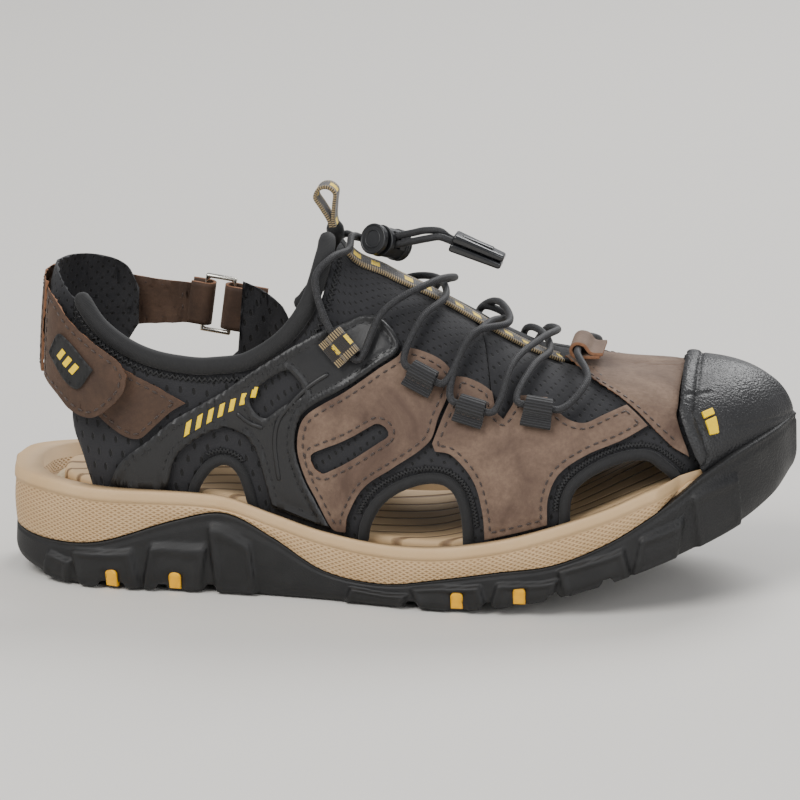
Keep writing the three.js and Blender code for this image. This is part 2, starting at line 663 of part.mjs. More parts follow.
// The part of a transverse line across the toes at x, from the outer side to the middle.
function transverse(x) {
  return [266, 271, 277, 284, 293, 304, LAST_END].map((s) => {
    let [low, high] = [0.35, 0.99];
    for (let i = 0; i < 20; i++) {
      const v = (low + high) / 2;
      if (offLast(s, v, LATERAL, overlayTo).x > x * LENGTH_SCALE) low = v;
      else high = v;
    }
    return [s, low];
  });
}
function buildToe() {
  const outer = [...TOE_STRAP_EDGE, [260.6, 0.3], [261.8, 0.43], ...transverse(CAP_X - 2)];
  const mirrored = outer.map(([s, v]) => [s, 2 - v]).reverse();
  const strap = [[234, 1], ...outer, ...mirrored];
  place("toe_strap", sheet(strap, LATERAL, overlayFrom, overlayTo), nubuck);

  const edge = [[264, 0.16], [262.6, 0.3], [263.8, 0.43], ...transverse(CAP_X)];
  const stations = [268, 276, 284, 293, 305, LAST_END].reverse();
  const lower = stations.map((s) => [s, footOf(s, LATERAL) + 0.01]);
  const farLower = stations.slice(1).reverse().map((s) => [2 * LAST_END - s, footOf(s, MEDIAL) + 0.01]);
  const far = edge.slice(0, -1).reverse().map(([s, v]) => [2 * LAST_END - s, v]);
  const cap = [...edge, ...far, ...farLower, ...lower];
  place("toe_cap", sheet(cap, LATERAL, overlayFrom, overlayTo + 2.6, { stepS: 9, stepV: 0.09 }), rubber);
  const badge = [[271, 0.24], [276.5, 0.24], [276.5, 0.4], [271, 0.4]];
  const capTop = overlayTo + 2.6 + GAP;
  place("toe_badge", sheet(badge, LATERAL, capTop, capTop + 0.8), yellow);

  // The strap's rear end, rolled round the lace and sewn down on the strap.
  const roll = new THREE.ExtrudeGeometry(tapeLoop(TOE_LOOP.tail), {
    depth: TOE_LOOP.width,
    bevelEnabled: false,
    curveSegments: 5,
  });
  const back = new THREE.Vector3(-1, 0, -0.06).normalize();
  const aside = new THREE.Vector3(0, 1, 0);
  const basis = new THREE.Matrix4().makeBasis(back, new THREE.Vector3().crossVectors(aside, back), aside);
  basis.setPosition(TOE_LOOP.at[0] * LENGTH_SCALE, TOE_LOOP.at[1] - TOE_LOOP.width / 2, TOE_LOOP.at[2]);
  place("toe_loop", roll.applyMatrix4(basis), nubuck);
}

// ---------------------------------------------------------------- lace loops, tape, lace
// A folded tape loop: a flat tail on the upper, and an eye round the lace at its upper end.
const EYE_IN = CORD_R + 0.65;
function tapeLoop(tail) {
  const outerR = EYE_IN + WEBBING;
  const shape = new THREE.Shape();
  shape.moveTo(-tail, 0);
  shape.lineTo(0, 0);
  shape.absarc(0, outerR, outerR, -Math.PI / 2, Math.PI / 2);
  shape.lineTo(-tail, WEBBING + 0.6);
  shape.closePath();
  const eye = new THREE.Path();
  eye.absarc(0, outerR, EYE_IN, 0, Math.PI * 2);
  shape.holes.push(eye);
  return shape;
}
const LOOPS = [
  { name: "upper_eyelet", at: [132, 0.49], turn: -8, tail: 6, tape: true },
  { name: "lace_loop_1", at: [164, 0.5], turn: -10, tail: 6 },
  { name: "lace_loop_2", at: [182.5, 0.44], turn: 0, tail: 6 },
  { name: "lace_loop_3", at: [208.5, 0.5], turn: 2, tail: 7 },
];
const loopBase = overlayTo + GAP + 0.2;
// Frame of a loop: x along the lace, y up the last, z outwards.
function loopFrame({ at, turn }, side) {
  const { forward, upward, out } = frameOnLast(...at, side);
  const x = forward.clone();
  const y = new THREE.Vector3().crossVectors(out, x);
  if (y.dot(upward) < 0) y.negate();
  const angle = THREE.MathUtils.degToRad(turn);
  const along = x.clone().multiplyScalar(Math.cos(angle)).addScaledVector(y, Math.sin(angle));
  const across = y.clone().multiplyScalar(Math.cos(angle)).addScaledVector(x, -Math.sin(angle));
  return { origin: offLast(...at, side, loopBase), along, across, out };
}
function buildLoops(side) {
  for (const loop of LOOPS) {
    const { origin, along, across, out } = loopFrame(loop, side);
    const options = { depth: LOOP_WIDTH, bevelEnabled: false, curveSegments: 5 };
    const geometry = new THREE.ExtrudeGeometry(tapeLoop(loop.tail), options).translate(0, 0, -LOOP_WIDTH / 2);
    const basis = new THREE.Matrix4().makeBasis(across, out, along).setPosition(origin);
    const solid = solidOf(geometry);
    const made = geometryOf(solid).applyMatrix4(basis);
    if (basis.determinant() < 0) made.setIndex([...made.index.array].reverse());
    const suffix = sideName(side);
    place(`${loop.name}_${suffix}`, made, loop.tape ? tape : ribbed);
  }
}

const CHAIN = { from: 131, to: 229 };
// Half the tape's width as a share of the section's height.
const chainHalf = (s) => {
  const across = onLast(s, 0.9, LATERAL).distanceTo(onLast(s, 1, LATERAL)) / 0.1;
  return CHAIN_WIDTH / 2 / across;
};
const CHAIN_ASIDE = 0.7; // how far the tape's middle lies to the outer side, in half widths
function buildChain() {
  const stations = [131, 145, 160, 175, 190, 205, 218, 229];
  const near = stations.map((s) => [s, 1 - chainHalf(s) * (1 + CHAIN_ASIDE)]);
  const far = stations.map((s) => [s, 1 + chainHalf(s) * (1 - CHAIN_ASIDE)]).reverse();
  const woven = sheet([...near, ...far], LATERAL, overlayFrom, overlayFrom + WEBBING, { stepV: 0.05 });
  place("centre_tape", woven, tape);
}

// The pull tab: a tape folded into a teardrop that stands at the top of the throat.
const TAB_PIVOT = new THREE.Vector3(-25.5, 0, 133);
function buildPullTab() {
  const height = 15;
  const open = 3.2;
  const shape = new THREE.Shape();
  shape.moveTo(-WEBBING, 0);
  shape.lineTo(WEBBING, 0);
  shape.lineTo(open + WEBBING, height - open);
  shape.absarc(0, height - open, open + WEBBING, 0, Math.PI);
  shape.closePath();
  const hole = new THREE.Path();
  hole.moveTo(-0.3, 3.5);
  hole.lineTo(-open, height - open);
  hole.absarc(0, height - open, open, Math.PI, 0, true);
  hole.lineTo(0.3, 3.5);
  hole.closePath();
  shape.holes.push(hole);
  const options = { depth: CHAIN_WIDTH, bevelEnabled: false, curveSegments: 6 };
  const geometry = new THREE.ExtrudeGeometry(shape, options);
  geometry.translate(0, 0, -CHAIN_WIDTH / 2).rotateX(Math.PI / 2).rotateY(THREE.MathUtils.degToRad(-14));
  geometry.translate(TAB_PIVOT.x, TAB_PIVOT.y, TAB_PIVOT.z);
  place("pull_tab", geometry, tape);
}

// ---------------------------------------------------------------- cord lock and lace
const LOCK = { centre: new THREE.Vector3(-6, 0, 127), axis: new THREE.Vector3(-0.5, -0.8, 0.33).normalize() };
const CORD_APART = CORD_R + 0.25; // half the distance between the two runs in the lock
// The lock's frame: x along the lace towards its free ends, z along the button.
const cordWay = new THREE.Vector3(1, 0, 0.1).addScaledVector(LOCK.axis, 0.467).normalize();
const lockFrame = new THREE.Matrix4().makeBasis(
  cordWay,
  new THREE.Vector3().crossVectors(LOCK.axis, cordWay).normalize(),
  LOCK.axis,
);
const lockGroup = new THREE.Group();
lockGroup.quaternion.setFromRotationMatrix(lockFrame);
lockGroup.position.copy(LOCK.centre);
lockGroup.updateMatrixWorld(true);
const inLock = (x, y, z) => lockGroup.localToWorld(new THREE.Vector3(x, y, z));

function standing(radius, low, high, sides = 20) {
  const geometry = new THREE.CylinderGeometry(radius, radius, high - low, sides);
  return geometry.rotateX(Math.PI / 2).translate(0, 0, (low + high) / 2);
}
function buildLock() {
  const bore = 2 * CORD_APART + 1.1;
  const bodyR = bore + 1.3;
  const stemLow = -CORD_R - 1.35;
  const [bottom, top, floor] = [stemLow - 5.9, CORD_R + 2.85, stemLow - 4.9];
  const slotX = new THREE.BoxGeometry(40, 4 * CORD_APART + 0.2, 2 * CORD_R + 1);
  const barrel = solidOf(standing(bodyR, bottom, top)).subtract(solidOf(standing(bore, floor, top + 1)));
  const body = barrel.subtract(solidOf(slotX));
  place("cord_lock_body", geometryOf(body), hardware, lockGroup);

  const stem = bore - GAP;
  const cap = solidOf(standing(stem + 2, top + LOCK_TRAVEL + GAP, top + LOCK_TRAVEL + 2.4));
  const window = new THREE.BoxGeometry(40, 4 * CORD_APART + 0.2, 2 * CORD_R + 0.6 + LOCK_TRAVEL);
  window.translate(0, 0, LOCK_TRAVEL / 2);
  const button = solidOf(standing(stem, stemLow, top + LOCK_TRAVEL + 1)).add(cap).subtract(solidOf(window));
  place("cord_lock_button", geometryOf(button), hardware, lockGroup);

  const coilCore = solidOf(standing(2.2, floor - 1, 0, 12));
  const coil = solidOf(standing(3, floor + 0.3, stemLow - 0.3, 12)).subtract(coilCore);
  place("cord_lock_spring", geometryOf(coil), steel, lockGroup);
  sandal.add(lockGroup);
}

const laceAt = EYE_IN + WEBBING; // height of the lace over the foot of a loop
// The lace's straight run through a loop: a little outside its two sides.
function throughLoop(loop, side) {
  const { origin, along, out } = loopFrame(loop, side);
  const middle = origin.clone().addScaledVector(out, laceAt);
  const reach = LOOP_WIDTH / 2 + CORD_R + 0.85;
  return [-reach, 0, reach].map((x) => middle.clone().addScaledVector(along, x));
}
const CROSSINGS = [170, 194.5, 216];
// Behind the cord lock one run of the lace passes over the centre tape, the other beside it.
const LACE_OVER_TAPE = [[-16, 2.6, 127.8], [-18.6, -3, 129.6]];
const LACE_BESIDE_TAPE = [[-16.5, 7.5, 126.6]];
function lacePoints() {
  const over = (s, v, side, lift) => offLast(s, v, side, lift);
  // One run from a loop on one side to the next loop on the other side, across the centre.
  const run = (from, to, k, side, high) => {
    const lift = high ? 8.7 : 5.5;
    return [
      over(LOOPS[from].at[0] + 16, 0.66, side, high ? 7.6 : 6),
      over(CROSSINGS[k] - 3, 0.9, side, lift),
      over(CROSSINGS[k] + 3, 0.9, -side, lift),
      over(LOOPS[to].at[0] - 1, 0.7, -side, high ? 7.6 : 6),
    ];
  };
  const half = (side, high) => [
    ...throughLoop(LOOPS[0], side),
    ...run(0, 1, 0, side, high),
    ...throughLoop(LOOPS[1], -side),
    ...run(1, 2, 1, -side, high),
    ...throughLoop(LOOPS[2], side),
    ...run(2, 3, 2, side, high),
    ...throughLoop(LOOPS[3], -side),
    over(231, 0.66, -side, 8),
  ];
  const [toeX, toeY, toeZ] = TOE_LOOP.at;
  const throughToeLoop = [TOE_LOOP.width / 2 + 3, 0, -TOE_LOOP.width / 2 - 3].map(
    (y) => new THREE.Vector3(toeX * LENGTH_SCALE, toeY + y, toeZ + laceAt),
  );
  const entry = (side) => [
    inLock(-0.3, side * CORD_APART, 0),
    inLock(-6.8, side * CORD_APART, 0),
    ...(side === LATERAL ? LACE_OVER_TAPE : LACE_BESIDE_TAPE).map((p) => new THREE.Vector3(...p)),
  ];
  const overRoll = LINING / 2 + COLLAR_R + CORD_R; // the lace lies on the padded top line
  const down = (side) => [
    over(130, 0.86, side, overRoll - 0.2),
    over(124, 0.7, side, overRoll),
    over(119.5, 0.57, side, overRoll),
  ];
  return [
    ...entry(LATERAL),
    ...down(LATERAL),
    ...half(LATERAL, true),
    ...throughToeLoop,
    ...half(MEDIAL, false).reverse(),
    ...down(MEDIAL).reverse(),
    ...entry(MEDIAL).reverse(),
  ];
}
const CLIP = { length: 20.5, width: 9.6, height: 7, start: [19.5, -8, 130.4], way: [0.93, -0.04, -0.36] };
function buildLace() {
  const points = lacePoints();
  const path = new THREE.CatmullRomCurve3(points, false, "centripetal");
  path.getUtoTmapping = (u) => u; // a ring of the tube stands at every point given
  const options = { steps: points.length - 1, extrudePath: path, bevelEnabled: false };
  place("elastic_lace", new THREE.ExtrudeGeometry(roundBar(CORD_R), options), elastic);

  // The clip that closes on the two ends of the lace: a tray and a lid that snaps on it.
  const clip = new THREE.Group();
  const way = new THREE.Vector3(...CLIP.way).normalize();
  const aside = new THREE.Vector3(0, 0, 1).cross(way).normalize();
  const clipUp = new THREE.Vector3().crossVectors(way, aside);
  clip.quaternion.setFromRotationMatrix(new THREE.Matrix4().makeBasis(way, aside, clipUp));
  clip.position.set(...CLIP.start);
  clip.updateMatrixWorld(true);
  sandal.add(clip);
  for (const side of bothSides) {
    const y = side * CORD_APART;
    const straight = [0.3, 6, 12, 18].map((x) => inLock(x, y, 0));
    const bend = inLock(23.5, y * 1.1, 0).lerp(clip.localToWorld(new THREE.Vector3(-4, y * 1.1, 0)), 0.5);
    const held = [-1.5, 3, 6.5].map((x) => clip.localToWorld(new THREE.Vector3(x, y, 0)));
    place(`lace_tail_${sideName(side)}`, tube([...straight, bend, ...held], CORD_R, 13), elastic);
  }
  const shape = new THREE.Shape();
  const [half, end] = [CLIP.width / 2, CLIP.length];
  shape.moveTo(0, -half + 1);
  shape.lineTo(0, half - 1);
  shape.lineTo(3, half);
  shape.lineTo(end - 3, half);
  shape.absarc(end - 3, half - 3, 3, Math.PI / 2, 0, true);
  shape.absarc(end - 3, -half + 3, 3, 0, -Math.PI / 2, true);
  shape.lineTo(3, -half);
  shape.closePath();
  const cordRoom = solidOf(new THREE.BoxGeometry(15, 4 * CORD_APART + 0.4, 2 * CORD_R + 0.6));
  const options2 = { depth: CLIP.height, bevelEnabled: false, curveSegments: 3 };
  const plate = new THREE.ExtrudeGeometry(shape, options2).translate(0, 0, -CLIP.height / 2);
  place("cord_clip", geometryOf(solidOf(plate).subtract(cordRoom)), hardware, clip);
}

// ---------------------------------------------------------------- heel strap
const STRAP_TOP = [[-69, 0.25], [-46, 0.255], [-36, 0.265], [-20, 0.285], [0, 0.29], [12, 0.285]];
const STRAP_LOW = [[12, 0.15], [0, 0.155], [-20, 0.16], [-36, 0.17], [-46, 0.18], [-69, 0.19]];
const TAB_HINGE = 13.5;
const tabRise = (s) => 2.5 + 4.2 * Math.min(Math.max((s - TAB_HINGE) / 18, 0), 1);
// The frame of the rectangular ring on the inner side: x forwards, y up the last, z outwards.
const RING = { at: [76, 0.22], lift: 5.4, halfX: 6, halfY: 11.5, bar: 2.2 };
function ringFrame() {
  const { forward, out } = frameOnLast(...RING.at, MEDIAL);
  const up = new THREE.Vector3().crossVectors(out, forward).normalize();
  const frame = new THREE.Matrix4().makeBasis(forward, up, out);
  return frame.setPosition(offLast(...RING.at, MEDIAL, RING.lift));
}
// Leather folded round a bar of the ring, with a tail of some length to one side of it.
function foldedLeather(x, tail, length, inner, thick) {
  const outer = inner + thick;
  const start = tail < 0 ? -Math.PI / 2 : Math.PI / 2;
  const fold = new THREE.Shape();
  fold.absarc(0, 0, outer, start, start + Math.PI);
  fold.lineTo(tail * length, tail < 0 ? outer : -outer);
  fold.lineTo(tail * length, tail < 0 ? -outer : outer);
  fold.closePath();
  const eye = new THREE.Path();
  eye.absarc(0, 0, inner, 0, Math.PI * 2);
  fold.holes.push(eye);
  const width = 2 * (RING.halfY - RING.bar) - 1.2;
  const geometry = new THREE.ExtrudeGeometry(fold, { depth: width, bevelEnabled: false, curveSegments: 5 });
  geometry.translate(0, 0, -width / 2).rotateX(Math.PI / 2).translate(x, 0, 0);
  return geometry.applyMatrix4(ringFrame());
}
function buildRing() {
  const { halfX, halfY, bar } = RING;
  const frame = new THREE.Shape();
  frame.moveTo(-halfX, -halfY).lineTo(halfX, -halfY).lineTo(halfX, halfY).lineTo(-halfX, halfY).closePath();
  const hole = new THREE.Path();
  hole.moveTo(-halfX + bar, -halfY + bar).lineTo(-halfX + bar, halfY - bar);
  hole.lineTo(halfX - bar, halfY - bar).lineTo(halfX - bar, -halfY + bar).closePath();
  frame.holes.push(hole);
  const ring = new THREE.ExtrudeGeometry(frame, { depth: 2.2, bevelEnabled: false }).translate(0, 0, -1.1);
  place("strap_ring", ring.applyMatrix4(ringFrame()), steel);
  place("ring_chape", foldedLeather(halfX - bar / 2, 1, 13, 1.9, 1.3), nubuck);
}

// The strap runs round the heel from the ring to its hinge line, where the tab begins.
function buildHeelStrap() {
  const strap = solidOf(sheet([...STRAP_TOP, ...STRAP_LOW], LATERAL, 2.5, 4.5, { stepV: 0.05, stepS: 8 }));
  const fold = solidOf(foldedLeather(-RING.halfX + RING.bar / 2, -1, 6, 1.9, 1.3));
  place("heel_strap", geometryOf(strap.add(fold)), nubuck);
  const tab = [
    [15.5, 0.15], [15.5, 0.28], [24, 0.268], [33, 0.24], [43, 0.212], [51, 0.193],
    [54, 0.175], [53, 0.152], [47, 0.124], [41, 0.11], [34, 0.115], [26, 0.135],
  ];
  const tabUnder = (s) => tabRise(s) - 0.2;
  const tabOver = (s) => tabRise(s) + 1.8;
  place("strap_tab", sheet(tab, LATERAL, tabUnder, tabOver, { stepV: 0.05, stepS: 8 }), nubuck);
  const badge = [[23, 0.19], [29, 0.222], [42.5, 0.178], [36, 0.148]];
  const badgeUnder = (s) => tabRise(s) + 2.3;
  const badgeOver = (s) => tabRise(s) + 3.6;
  place("strap_badge", sheet(badge, LATERAL, badgeUnder, badgeOver, { stepV: 0.05 }), hardware);
  const base = [
    [36, 0.125], [36, 0.21], [51, 0.18], [64, 0.157], [74, 0.137], [69, 0.124], [63, 0.102], [57, 0.083], [49, 0.09],
  ];
  place("strap_base", sheet(base, LATERAL, overlayFrom, overlayFrom + 1.2, { stepV: 0.05 }), nubuck);
  const hook = [[39, 0.135], [39, 0.2], [49, 0.18], [50, 0.16], [45, 0.135]];
  const loopFrom = overlayFrom + 1.2 + 0.4;
  place("loop_patch", sheet(hook, LATERAL, loopFrom, loopFrom + 0.8, { stepV: 0.05 }), fabric);
  place("hook_patch", sheet(hook, LATERAL, loopFrom + 1.2, loopFrom + 2, { stepV: 0.05 }), fabric);
}

buildSole();
for (const side of bothSides) {
  buildLining(side);
  buildOverlays(side);
  buildLoops(side);
}
buildCollar();
buildToe();
buildChain();
buildPullTab();
buildLock();
buildLace();
buildHeelStrap();
buildRing();

export default sandal;
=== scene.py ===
"""Closed-toe strappy sport sandal, right foot, dressed over its CAD frame.

Lengths in the shape work are millimetres; meshes are made in metres in the CAD frame:
X to the toe, -Y the outer (lateral) side, Z up.
"""

import math

import bmesh
import bpy
import numpy as np
from mathutils import Matrix, Vector


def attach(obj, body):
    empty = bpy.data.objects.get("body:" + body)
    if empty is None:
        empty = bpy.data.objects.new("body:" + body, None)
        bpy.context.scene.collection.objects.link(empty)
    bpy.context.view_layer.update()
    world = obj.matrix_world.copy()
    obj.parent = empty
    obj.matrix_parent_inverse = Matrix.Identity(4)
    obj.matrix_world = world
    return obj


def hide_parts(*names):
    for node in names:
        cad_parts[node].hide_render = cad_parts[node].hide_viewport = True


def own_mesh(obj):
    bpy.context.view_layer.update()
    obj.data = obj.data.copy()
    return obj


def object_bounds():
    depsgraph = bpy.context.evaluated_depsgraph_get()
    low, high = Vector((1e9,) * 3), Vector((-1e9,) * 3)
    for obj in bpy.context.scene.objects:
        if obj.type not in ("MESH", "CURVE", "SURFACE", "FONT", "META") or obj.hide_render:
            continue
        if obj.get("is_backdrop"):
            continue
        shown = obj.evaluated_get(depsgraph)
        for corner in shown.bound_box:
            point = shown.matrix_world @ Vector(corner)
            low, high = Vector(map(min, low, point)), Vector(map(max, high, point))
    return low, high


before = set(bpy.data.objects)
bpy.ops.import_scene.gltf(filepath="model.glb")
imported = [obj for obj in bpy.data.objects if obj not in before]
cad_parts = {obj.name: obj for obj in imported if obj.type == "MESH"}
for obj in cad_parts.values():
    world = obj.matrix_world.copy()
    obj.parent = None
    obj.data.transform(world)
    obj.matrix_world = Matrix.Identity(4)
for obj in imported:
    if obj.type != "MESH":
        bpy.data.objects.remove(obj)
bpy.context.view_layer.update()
scene = bpy.context.scene

# ------------------------------------------------------------------ camera, light and floor
# A long lens a little above the rim of the sole, looking at the outer side from slightly
# ahead. The floor is plain pale card, lit by one large soft window light and two fills.
azimuth, elevation = math.radians(7), math.radians(15)
aim = Vector((-0.00098, -0.00004, 0.0665))
back = Vector((
    math.sin(azimuth) * math.cos(elevation),
    -math.cos(azimuth) * math.cos(elevation),
    math.sin(elevation),
))
camera = bpy.data.objects.new("camera", bpy.data.cameras.new("camera"))
camera.data.sensor_width = 36
camera.data.lens = 264.7
camera.data.clip_start = 0.1
camera.location = aim + back * 2.2
camera.rotation_euler = (-back).to_track_quat("-Z", "Y").to_euler()
scene.collection.objects.link(camera)
scene.camera = camera

for title, place, size, power, tint in (
    ("window_light", (-0.75, -1.15, 1.5), 1.2, 34, (1.0, 0.99, 0.97)),
    ("front_fill", (1.3, -1.4, 0.8), 1.3, 15, (0.97, 0.98, 1.0)),
    ("back_light", (0.5, 1.2, 1.3), 1.0, 24, (1.0, 1.0, 1.0)),
):
    lamp = bpy.data.objects.new(title, bpy.data.lights.new(title, "AREA"))
    lamp.data.shape = "DISK"
    lamp.data.size = size
    lamp.data.energy = power
    lamp.data.color = tint
    lamp.location = place
    lamp.rotation_euler = (Vector(place) - Vector((0, 0, 0.06))).to_track_quat("Z", "Y").to_euler()
    scene.collection.objects.link(lamp)

world = bpy.data.worlds.new("studio")
scene.world = world
world.use_nodes = True
world.node_tree.nodes["Background"].inputs["Color"].default_value = (0.95, 0.96, 1.0, 1)
world.node_tree.nodes["Background"].inputs["Strength"].default_value = 0.55


def linear(hex_colour):
    """sRGB hex to the linear colour that a socket takes."""
    parts = [int(hex_colour[i : i + 2], 16) / 255 for i in (1, 3, 5)]
    return [p / 12.92 if p <= 0.04045 else ((p + 0.055) / 1.055) ** 2.4 for p in parts] + [1.0]


def add(material, kind, inputs, **settings):
    """Adds one node with its settings, its socket values and its links; kind leaves out ShaderNode."""
    node = material.node_tree.nodes.new("ShaderNode" + kind)
    if kind == "Mix":
        node.data_type = "RGBA"
    for key, value in settings.items():
        setattr(node, key, value)
    for key, value in inputs.items():
        if isinstance(value, bpy.types.NodeSocket):
            material.node_tree.links.new(value, node.inputs[key])
        else:
            is_colour = isinstance(value, str) and value[0] == "#"
            node.inputs[key].default_value = linear(value) if is_colour else value
    return node


def finish(name, **shader):
    """A Principled material with numbers and colours set on the shader's own sockets."""
    material = bpy.data.materials.new(name)
    material.use_nodes = True
    surface = material.node_tree.nodes["Principled BSDF"]
    for key, value in shader.items():
        socket = surface.inputs[key.replace("_", " ")]
        socket.default_value = linear(value) if isinstance(value, str) else value
    return material, surface


def link(material, output, surface, socket):
    material.node_tree.links.new(output, surface.inputs[socket])


floor = bpy.data.objects.new("floor", bpy.data.meshes.new("floor"))
bm = bmesh.new()
bmesh.ops.create_grid(bm, x_segments=1, y_segments=1, size=6)
bm.to_mesh(floor.data)
bm.free()
floor.location.z = -0.0002
scene.collection.objects.link(floor)
paper, surface = finish("pale_card", Base_Color="#d9d6d0", Roughness=0.7)
floor.data.materials.append(paper)
floor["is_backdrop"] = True

# ------------------------------------------------------------------ free ends of the lace
# The two ends of the elastic lace leave the cord lock and run into a snap-on end clip.
# 2.7 mm shock cord: rubber strands under a braided polyester sleeve, charcoal and black.
LATERAL, MEDIAL = -1, 1
CORD_R = 1.35


def curve_through(points, step):
    """Evenly spaced points along a smooth curve through the given ones, in mm."""
    p = np.array(points, float)
    p = np.vstack([2 * p[0] - p[1], p, 2 * p[-1] - p[-2]])
    out = []
    for a, b, c, d in zip(p, p[1:], p[2:], p[3:]):
        ab, bc, cd = (max(np.linalg.norm(y - x), 1e-6) ** 0.5 for x, y in ((a, b), (b, c), (c, d)))
        m1 = (c - b) + bc * ((b - a) / ab - (c - a) / (ab + bc))
        m2 = (c - b) + bc * ((d - c) / cd - (d - b) / (bc + cd))
        t = np.linspace(0, 1, 24, endpoint=False)[:, None]
        out.append(
            (2 * t**3 - 3 * t**2 + 1) * b + (t**3 - 2 * t**2 + t) * m1
            + (3 * t**2 - 2 * t**3) * c + (t**3 - t**2) * m2
        )
    line = np.vstack([*out, p[-2:-1]])
    gone = np.concatenate([[0], np.cumsum(np.linalg.norm(np.diff(line, axis=0), axis=1))])
    even = np.linspace(0, gone[-1], max(2, round(gone[-1] / step)) + 1)
    return np.stack([np.interp(even, gone, line[:, k]) for k in range(3)], 1)


def shaped_grid(name, columns, rows, place, pattern, materials, body, flip=None):
    """A flat grid that is rolled or laid into shape. place(u, w) gives points in mm and
    pattern(u, w) the fabric's own measure in mm, with u and w from 0 to 1."""
    bm = bmesh.new()
    bmesh.ops.create_grid(bm, x_segments=columns, y_segments=rows, size=0.5)
    bm.verts.ensure_lookup_table()
    flat = np.array([v.co for v in bm.verts]) + 0.5
    u, w = np.round(flat[:, 0] * columns) / columns, np.round(flat[:, 1] * rows) / rows
    uv = bm.loops.layers.uv.new("pattern")
    measure = np.stack(pattern(u, w), 1)
    for face in bm.faces:
        face.smooth = True
        for corner in face.loops:
            corner[uv].uv = measure[corner.vert.index]
    for vert, point in zip(bm.verts, place(u, w) / 1000):
        vert.co = point
    bmesh.ops.remove_doubles(bm, verts=bm.verts, dist=2e-6)
    bmesh.ops.dissolve_degenerate(bm, edges=bm.edges, dist=1e-7)
    bmesh.ops.recalc_face_normals(bm, faces=bm.faces)
    if flip is not None:
        outward = sum(f.normal.dot(f.calc_center_median() - Vector(flip) / 1000) for f in bm.faces)
        if outward < 0:
            bmesh.ops.reverse_faces(bm, faces=bm.faces)
    return finished(name, bm, materials, body)


def finished(name, bm, materials, body):
    """Makes the piece's object from its bmesh and lets it ride on its body."""
    piece = bpy.data.objects.new(name, bpy.data.meshes.new(name))
    bm.to_mesh(piece.data)
    bm.free()
    for material in materials if isinstance(materials, (list, tuple)) else [materials]:
        piece.data.materials.append(material)
    scene.collection.objects.link(piece)
    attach(piece, body)
    return piece


def stands_for(node):
    """The piece replaces a node of the frame, which is hidden."""
    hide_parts(node)


def swept(name, line, radius, materials, body, sides=14, ends=True):
    """A round piece along a line of points in mm; radius is a number or a function of length."""
    line = np.array(line, float)
    gone = np.concatenate([[0], np.cumsum(np.linalg.norm(np.diff(line, axis=0), axis=1))])
    reach = radius if np.isscalar(radius) else radius(0.0)
    if ends:
        tips = reach * np.array([0, 0.05, 0.2, 0.5])
        stations = np.concatenate(
            [tips, gone[(gone > reach) & (gone < gone[-1] - reach)], gone[-1] - tips[::-1]]
        )
    else:
        stations = gone
    line = np.stack([np.interp(stations, gone, line[:, k]) for k in range(3)], 1)
    along = np.gradient(line, axis=0)
    along /= np.linalg.norm(along, axis=1)[:, None]
    side = np.cross(along[0], (0.3, 0.2, 0.93))
    frames = []
    for t in along:
        side = side - t * side.dot(t)
        side /= np.linalg.norm(side)
        frames.append((side, np.cross(t, side)))
    frames = np.array(frames)
    thick = np.full(len(stations), reach) if np.isscalar(radius) else np.array([radius(x) for x in stations])
    if ends:
        edge = np.minimum(np.minimum(stations, gone[-1] - stations) / reach, 1)
        thick = thick * np.sqrt(np.maximum(1 - (1 - edge) ** 2, 0))
    n = len(stations) - 1

    def place(u, w):
        i = np.round(u * n).astype(int)
        turn = 2 * np.pi * w
        way = frames[i, 0] * np.cos(turn)[:, None] + frames[i, 1] * np.sin(turn)[:, None]
        return line[i] + way * thick[i][:, None]

    def pattern(u, w):
        return stations[np.round(u * n).astype(int)], w * 2 * np.pi * reach

    return shaped_grid(name, n, sides, place, pattern, materials, body)


# Shock cord's sleeve: a 2 x 1 mm diamond braid, mostly charcoal with a few paler yarns.
shock_cord, surface = finish(
    "braided_polyester_cord", Base_Color="#19191a", Roughness=0.62, Sheen_Weight=0.08
)
uv = add(shock_cord, "UVMap", {}, uv_map="pattern").outputs["UV"]
strands = []
for turn in (0.62, -0.62):
    turned = add(shock_cord, "Mapping", {"Vector": uv, "Rotation": (0, 0, turn)})
    strands.append(
        add(shock_cord, "TexWave", {"Vector": turned.outputs["Vector"], "Scale": 0.314 / 0.75})
    )
braid = add(
    shock_cord, "Math", {0: strands[0].outputs["Fac"], 1: strands[1].outputs["Fac"]}, operation="MAXIMUM"
)
fleck = add(shock_cord, "TexNoise", {"Vector": uv, "Scale": 0.9, "Detail": 3.0})
tone = add(
    shock_cord, "MapRange",
    {"Value": fleck.outputs["Fac"], "From Min": 0.45, "From Max": 0.75, "To Min": 0.0, "To Max": 0.55},
)
tint = add(shock_cord, "Mix", {0: tone.outputs["Result"], 6: "#131315", 7: "#343438"})
link(shock_cord, tint.outputs[2], surface, "Base Color")
relief = add(shock_cord, "Bump", {"Height": braid.outputs["Value"], "Distance": 0.00018, "Strength": 0.8})
link(shock_cord, relief.outputs["Normal"], surface, "Normal")

